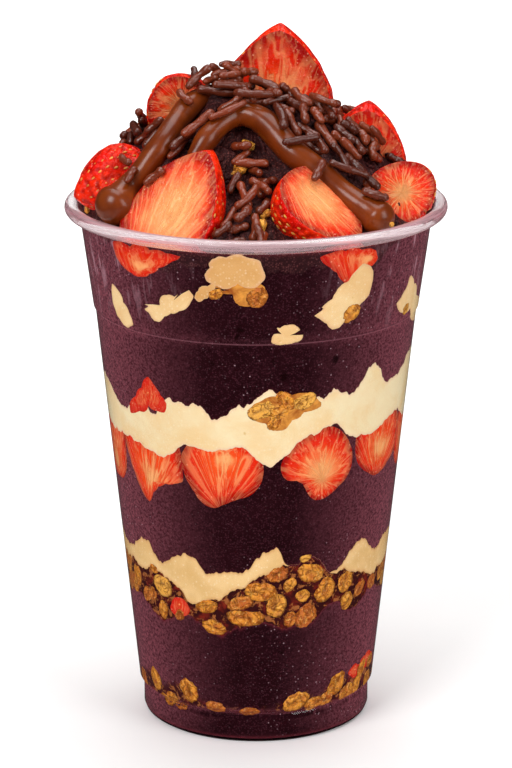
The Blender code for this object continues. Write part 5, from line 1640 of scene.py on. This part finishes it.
# Degrees from the front, height, length and width in mm, tilt in degrees
lowerFlakes = [
    (-45, 41.5, 6.2, 5.6, 0), (-65, 41.0, 5.6, 4.4, 85), (-52, 38.0, 3.8, 2.6, 80),
    (-50, 45.5, 3.2, 2.5, 0), (-46, 34.5, 5.2, 3.2, 80), (-22, 38.3, 5.6, 3.4, 15),
    (-19, 32.5, 5.6, 3.8, -15), (-7, 40.0, 6.6, 3.8, 15), (-5, 35.8, 8.6, 4.6, -3), (2, 43.3, 7.6, 5.0, 5),
    (9, 48.0, 5.4, 4.2, 30), (8.5, 39.4, 6.4, 4.9, 80), (15, 35.2, 4.2, 3.2, 80),
    (22.5, 35.4, 6.4, 5.0, 60), (24, 47.6, 6.8, 5.2, -25), (31, 42.2, 7.2, 5.4, 60),
    (42, 43.0, 5.6, 4.8, 80), (21, 51.6, 3.2, 2.0, 15), (44, 37.4, 4.8, 4.4, 50), (62, 39.7, 4.4, 4.0, 60),
    (14.5, 44.8, 4.0, 3.0, 60), (20.5, 41.2, 3.8, 3.4, 0), (52, 39.6, 4.6, 3.6, 40),
    (-57, 37.2, 4.6, 3.4, 60), (-72, 38.5, 5.0, 4.0, 30), (-78, 43.5, 5.0, 4.0, 70),
    (-36, 34.6, 3.6, 3.0, 30),
]


def seenFlakes(spots):
    # Flakes placed by the photo: pixel, length and width in mm, tilt in degrees
    places = [onWall(x, y) for x, y, *_ in spots]
    return [(degrees, height / mm, *spot[2:]) for (degrees, height), spot in zip(places, spots)]


bottomFlakes = seenFlakes([(168, 697, 5.0, 3.2, -25), (181, 703, 4.8, 3.0, -15), (313, 703, 5.0, 3.6, 20),
                           (325, 698, 4.4, 3.6, 40), (346, 692, 5.4, 4.2, 10)])
bottomFlakes += [
    (-57, 13.0, 6.4, 4.4, -70), (-72, 10.6, 5.6, 4.0, -75), (-34, 13.4, 6.2, 5.4, -60),
    (-20, 9.6, 5.2, 3.2, -5), (-3, 9.0, 5.0, 2.6, 5), (20, 11.6, 7.2, 5.2, 30), (42, 14.2, 6.8, 5.2, 55),
    (51, 10.6, 4.8, 4.2, 60), (62, 15.2, 5.4, 4.2, 65), (28, 9.0, 3.4, 2.4, 5), (58, 11.0, 5.0, 3.6, 75),
    (-46, 9.6, 3.8, 2.8, 0),
]


print("scattering the granola")
flakeBand("granolaBottomFlakes", level(8.0 * mm), line("granolaBottomTop"), bottomFlakes,
          ("granola_bottom",), 3, 0.93)
flakeBand("granolaLowerFlakes", line("granolaLowerBottom"), creamLowerLow, lowerFlakes,
          ("granola_lower",), 4, 0.8)


def flakeCluster(name, spots, nodes, seed):
    own = random.Random(seed)
    parts = [placeFlake(own, degrees, height * mm, length * mm, width * mm, tilt, 0.25 * mm)
             for degrees, height, length, width, tilt in spots]
    points, faces, maps = joinMeshes(parts)
    makePiece(name, points, faces, granola, nodes, {"flakeMap": maps})


flakeCluster("granolaCluster_1", seenFlakes([
    (262, 410, 7.6, 4.8, 30), (285, 400, 5.8, 4.2, -50), (304, 401, 6.4, 4.6, 20), (279, 413, 5.4, 4.2, 35),
    (274, 423, 4.4, 3.4, 50)]), ("granola_tucked_1",), 8)
flakeCluster("granolaCluster_2", [(243, 95.5, 6.6, 5.0, 20), (250, 97.0, 6.0, 4.8, -30),
                                  (257, 95.8, 6.0, 4.6, 50)], ("granola_tucked_2",), 9)
flakeCluster("granolaStray", [(0.5, 122.9, 5.6, 5.0, 60), (34, 116.8, 5.8, 4.4, 40),
                              (-13, 123.4, 4.0, 2.8, 30), (64, 113.5, 4.0, 3.0, 20),
                              (148, 119.5, 5.5, 4.5, 20)], (), 10)

# The stage: a pale floor that sweeps up behind, soft lamps on both sides

studio = {
    "floorSize": 3.0, "sweepRise": 1.6, "sweepReach": 0.6, "worldLight": 0.26, "worldMirrored": 0.04,
    "lamps": [
        ("keyLamp", (-0.55, -0.75, 0.85), 0.55, 0.55, 8.6, (0, 0, 0.1)),
        ("fillLamp", (0.75, -0.65, 0.55), 0.5, 0.7, 4.6, (0, 0, 0.1)),
        ("topLamp", (0.05, 0.1, 1.1), 0.7, 0.7, 5.6, (0, 0, 0.1)),
        ("backdropLamp", (0.0, 0.55, 1.3), 1.6, 0.3, 30.0, (0, 2.0, 0.5)),
    ],
}


def floorMaterial():
    made, tree, shader = newMaterial("paleFloor", Roughness=0.7)
    tone = ramp(tree, noiseAt(tree, 12.0, 3.0), [(0.2, (0.915, 0.915, 0.915, 1)),
                                                 (0.8, (0.94, 0.94, 0.94, 1))])
    paint(tree, shader, tone)
    return made


def buildStage():
    size, rise, reach = studio["floorSize"], studio["sweepRise"], studio["sweepReach"]
    profile = [(-size, 0.0), (size * 0.45, 0.0)]
    for i in range(1, 13):
        turn = math.radians(90 * i / 12)
        profile.append((size * 0.45 + reach * math.sin(turn), reach * (1 - math.cos(turn))))
    profile.append((size * 0.45 + reach, rise))
    points = [(x, y, z) for y, z in profile for x in (-size, size)]
    faces = [(2 * i, 2 * i + 1, 2 * i + 3, 2 * i + 2) for i in range(len(profile) - 1)]
    mesh = bpy.data.meshes.new("floorSweep")
    mesh.from_pydata(points, [], faces)
    mesh.materials.append(floorMaterial())
    mesh.shade_smooth()
    floor = bpy.data.objects.new("floorSweep", mesh)
    bpy.context.scene.collection.objects.link(floor)
    floor.visible_glossy = False


def buildLamps():
    for name, place, width, height, power, target in studio["lamps"]:
        lamp = bpy.data.lights.new(name, "AREA")
        lamp.shape = "RECTANGLE"
        lamp.size, lamp.size_y = width, height
        lamp.energy = power
        holder = bpy.data.objects.new(name, lamp)
        holder.location = place
        holder.rotation_euler = (Vector(place) - Vector(target)).to_track_quat("Z", "Y").to_euler()
        holder.visible_camera = False
        bpy.context.scene.collection.objects.link(holder)
    # Soft light from all round; what the gloss mirrors of it is dim, as with black cards before the cup
    world = bpy.data.worlds.new("studioAir")
    world.use_nodes = True
    tree = world.node_tree
    path = tree.nodes.new("ShaderNodeLightPath")
    strength = mapRange(tree, path.outputs["Is Glossy Ray"],
                        {"To Min": studio["worldLight"], "To Max": studio["worldMirrored"]})
    tree.nodes["Background"].inputs["Color"].default_value = (1, 1, 1, 1)
    tree.links.new(strength, tree.nodes["Background"].inputs["Strength"])
    bpy.context.scene.world = world
    bpy.context.scene.view_settings.view_transform = "Standard"


print("setting the stage")
buildStage()
buildLamps()
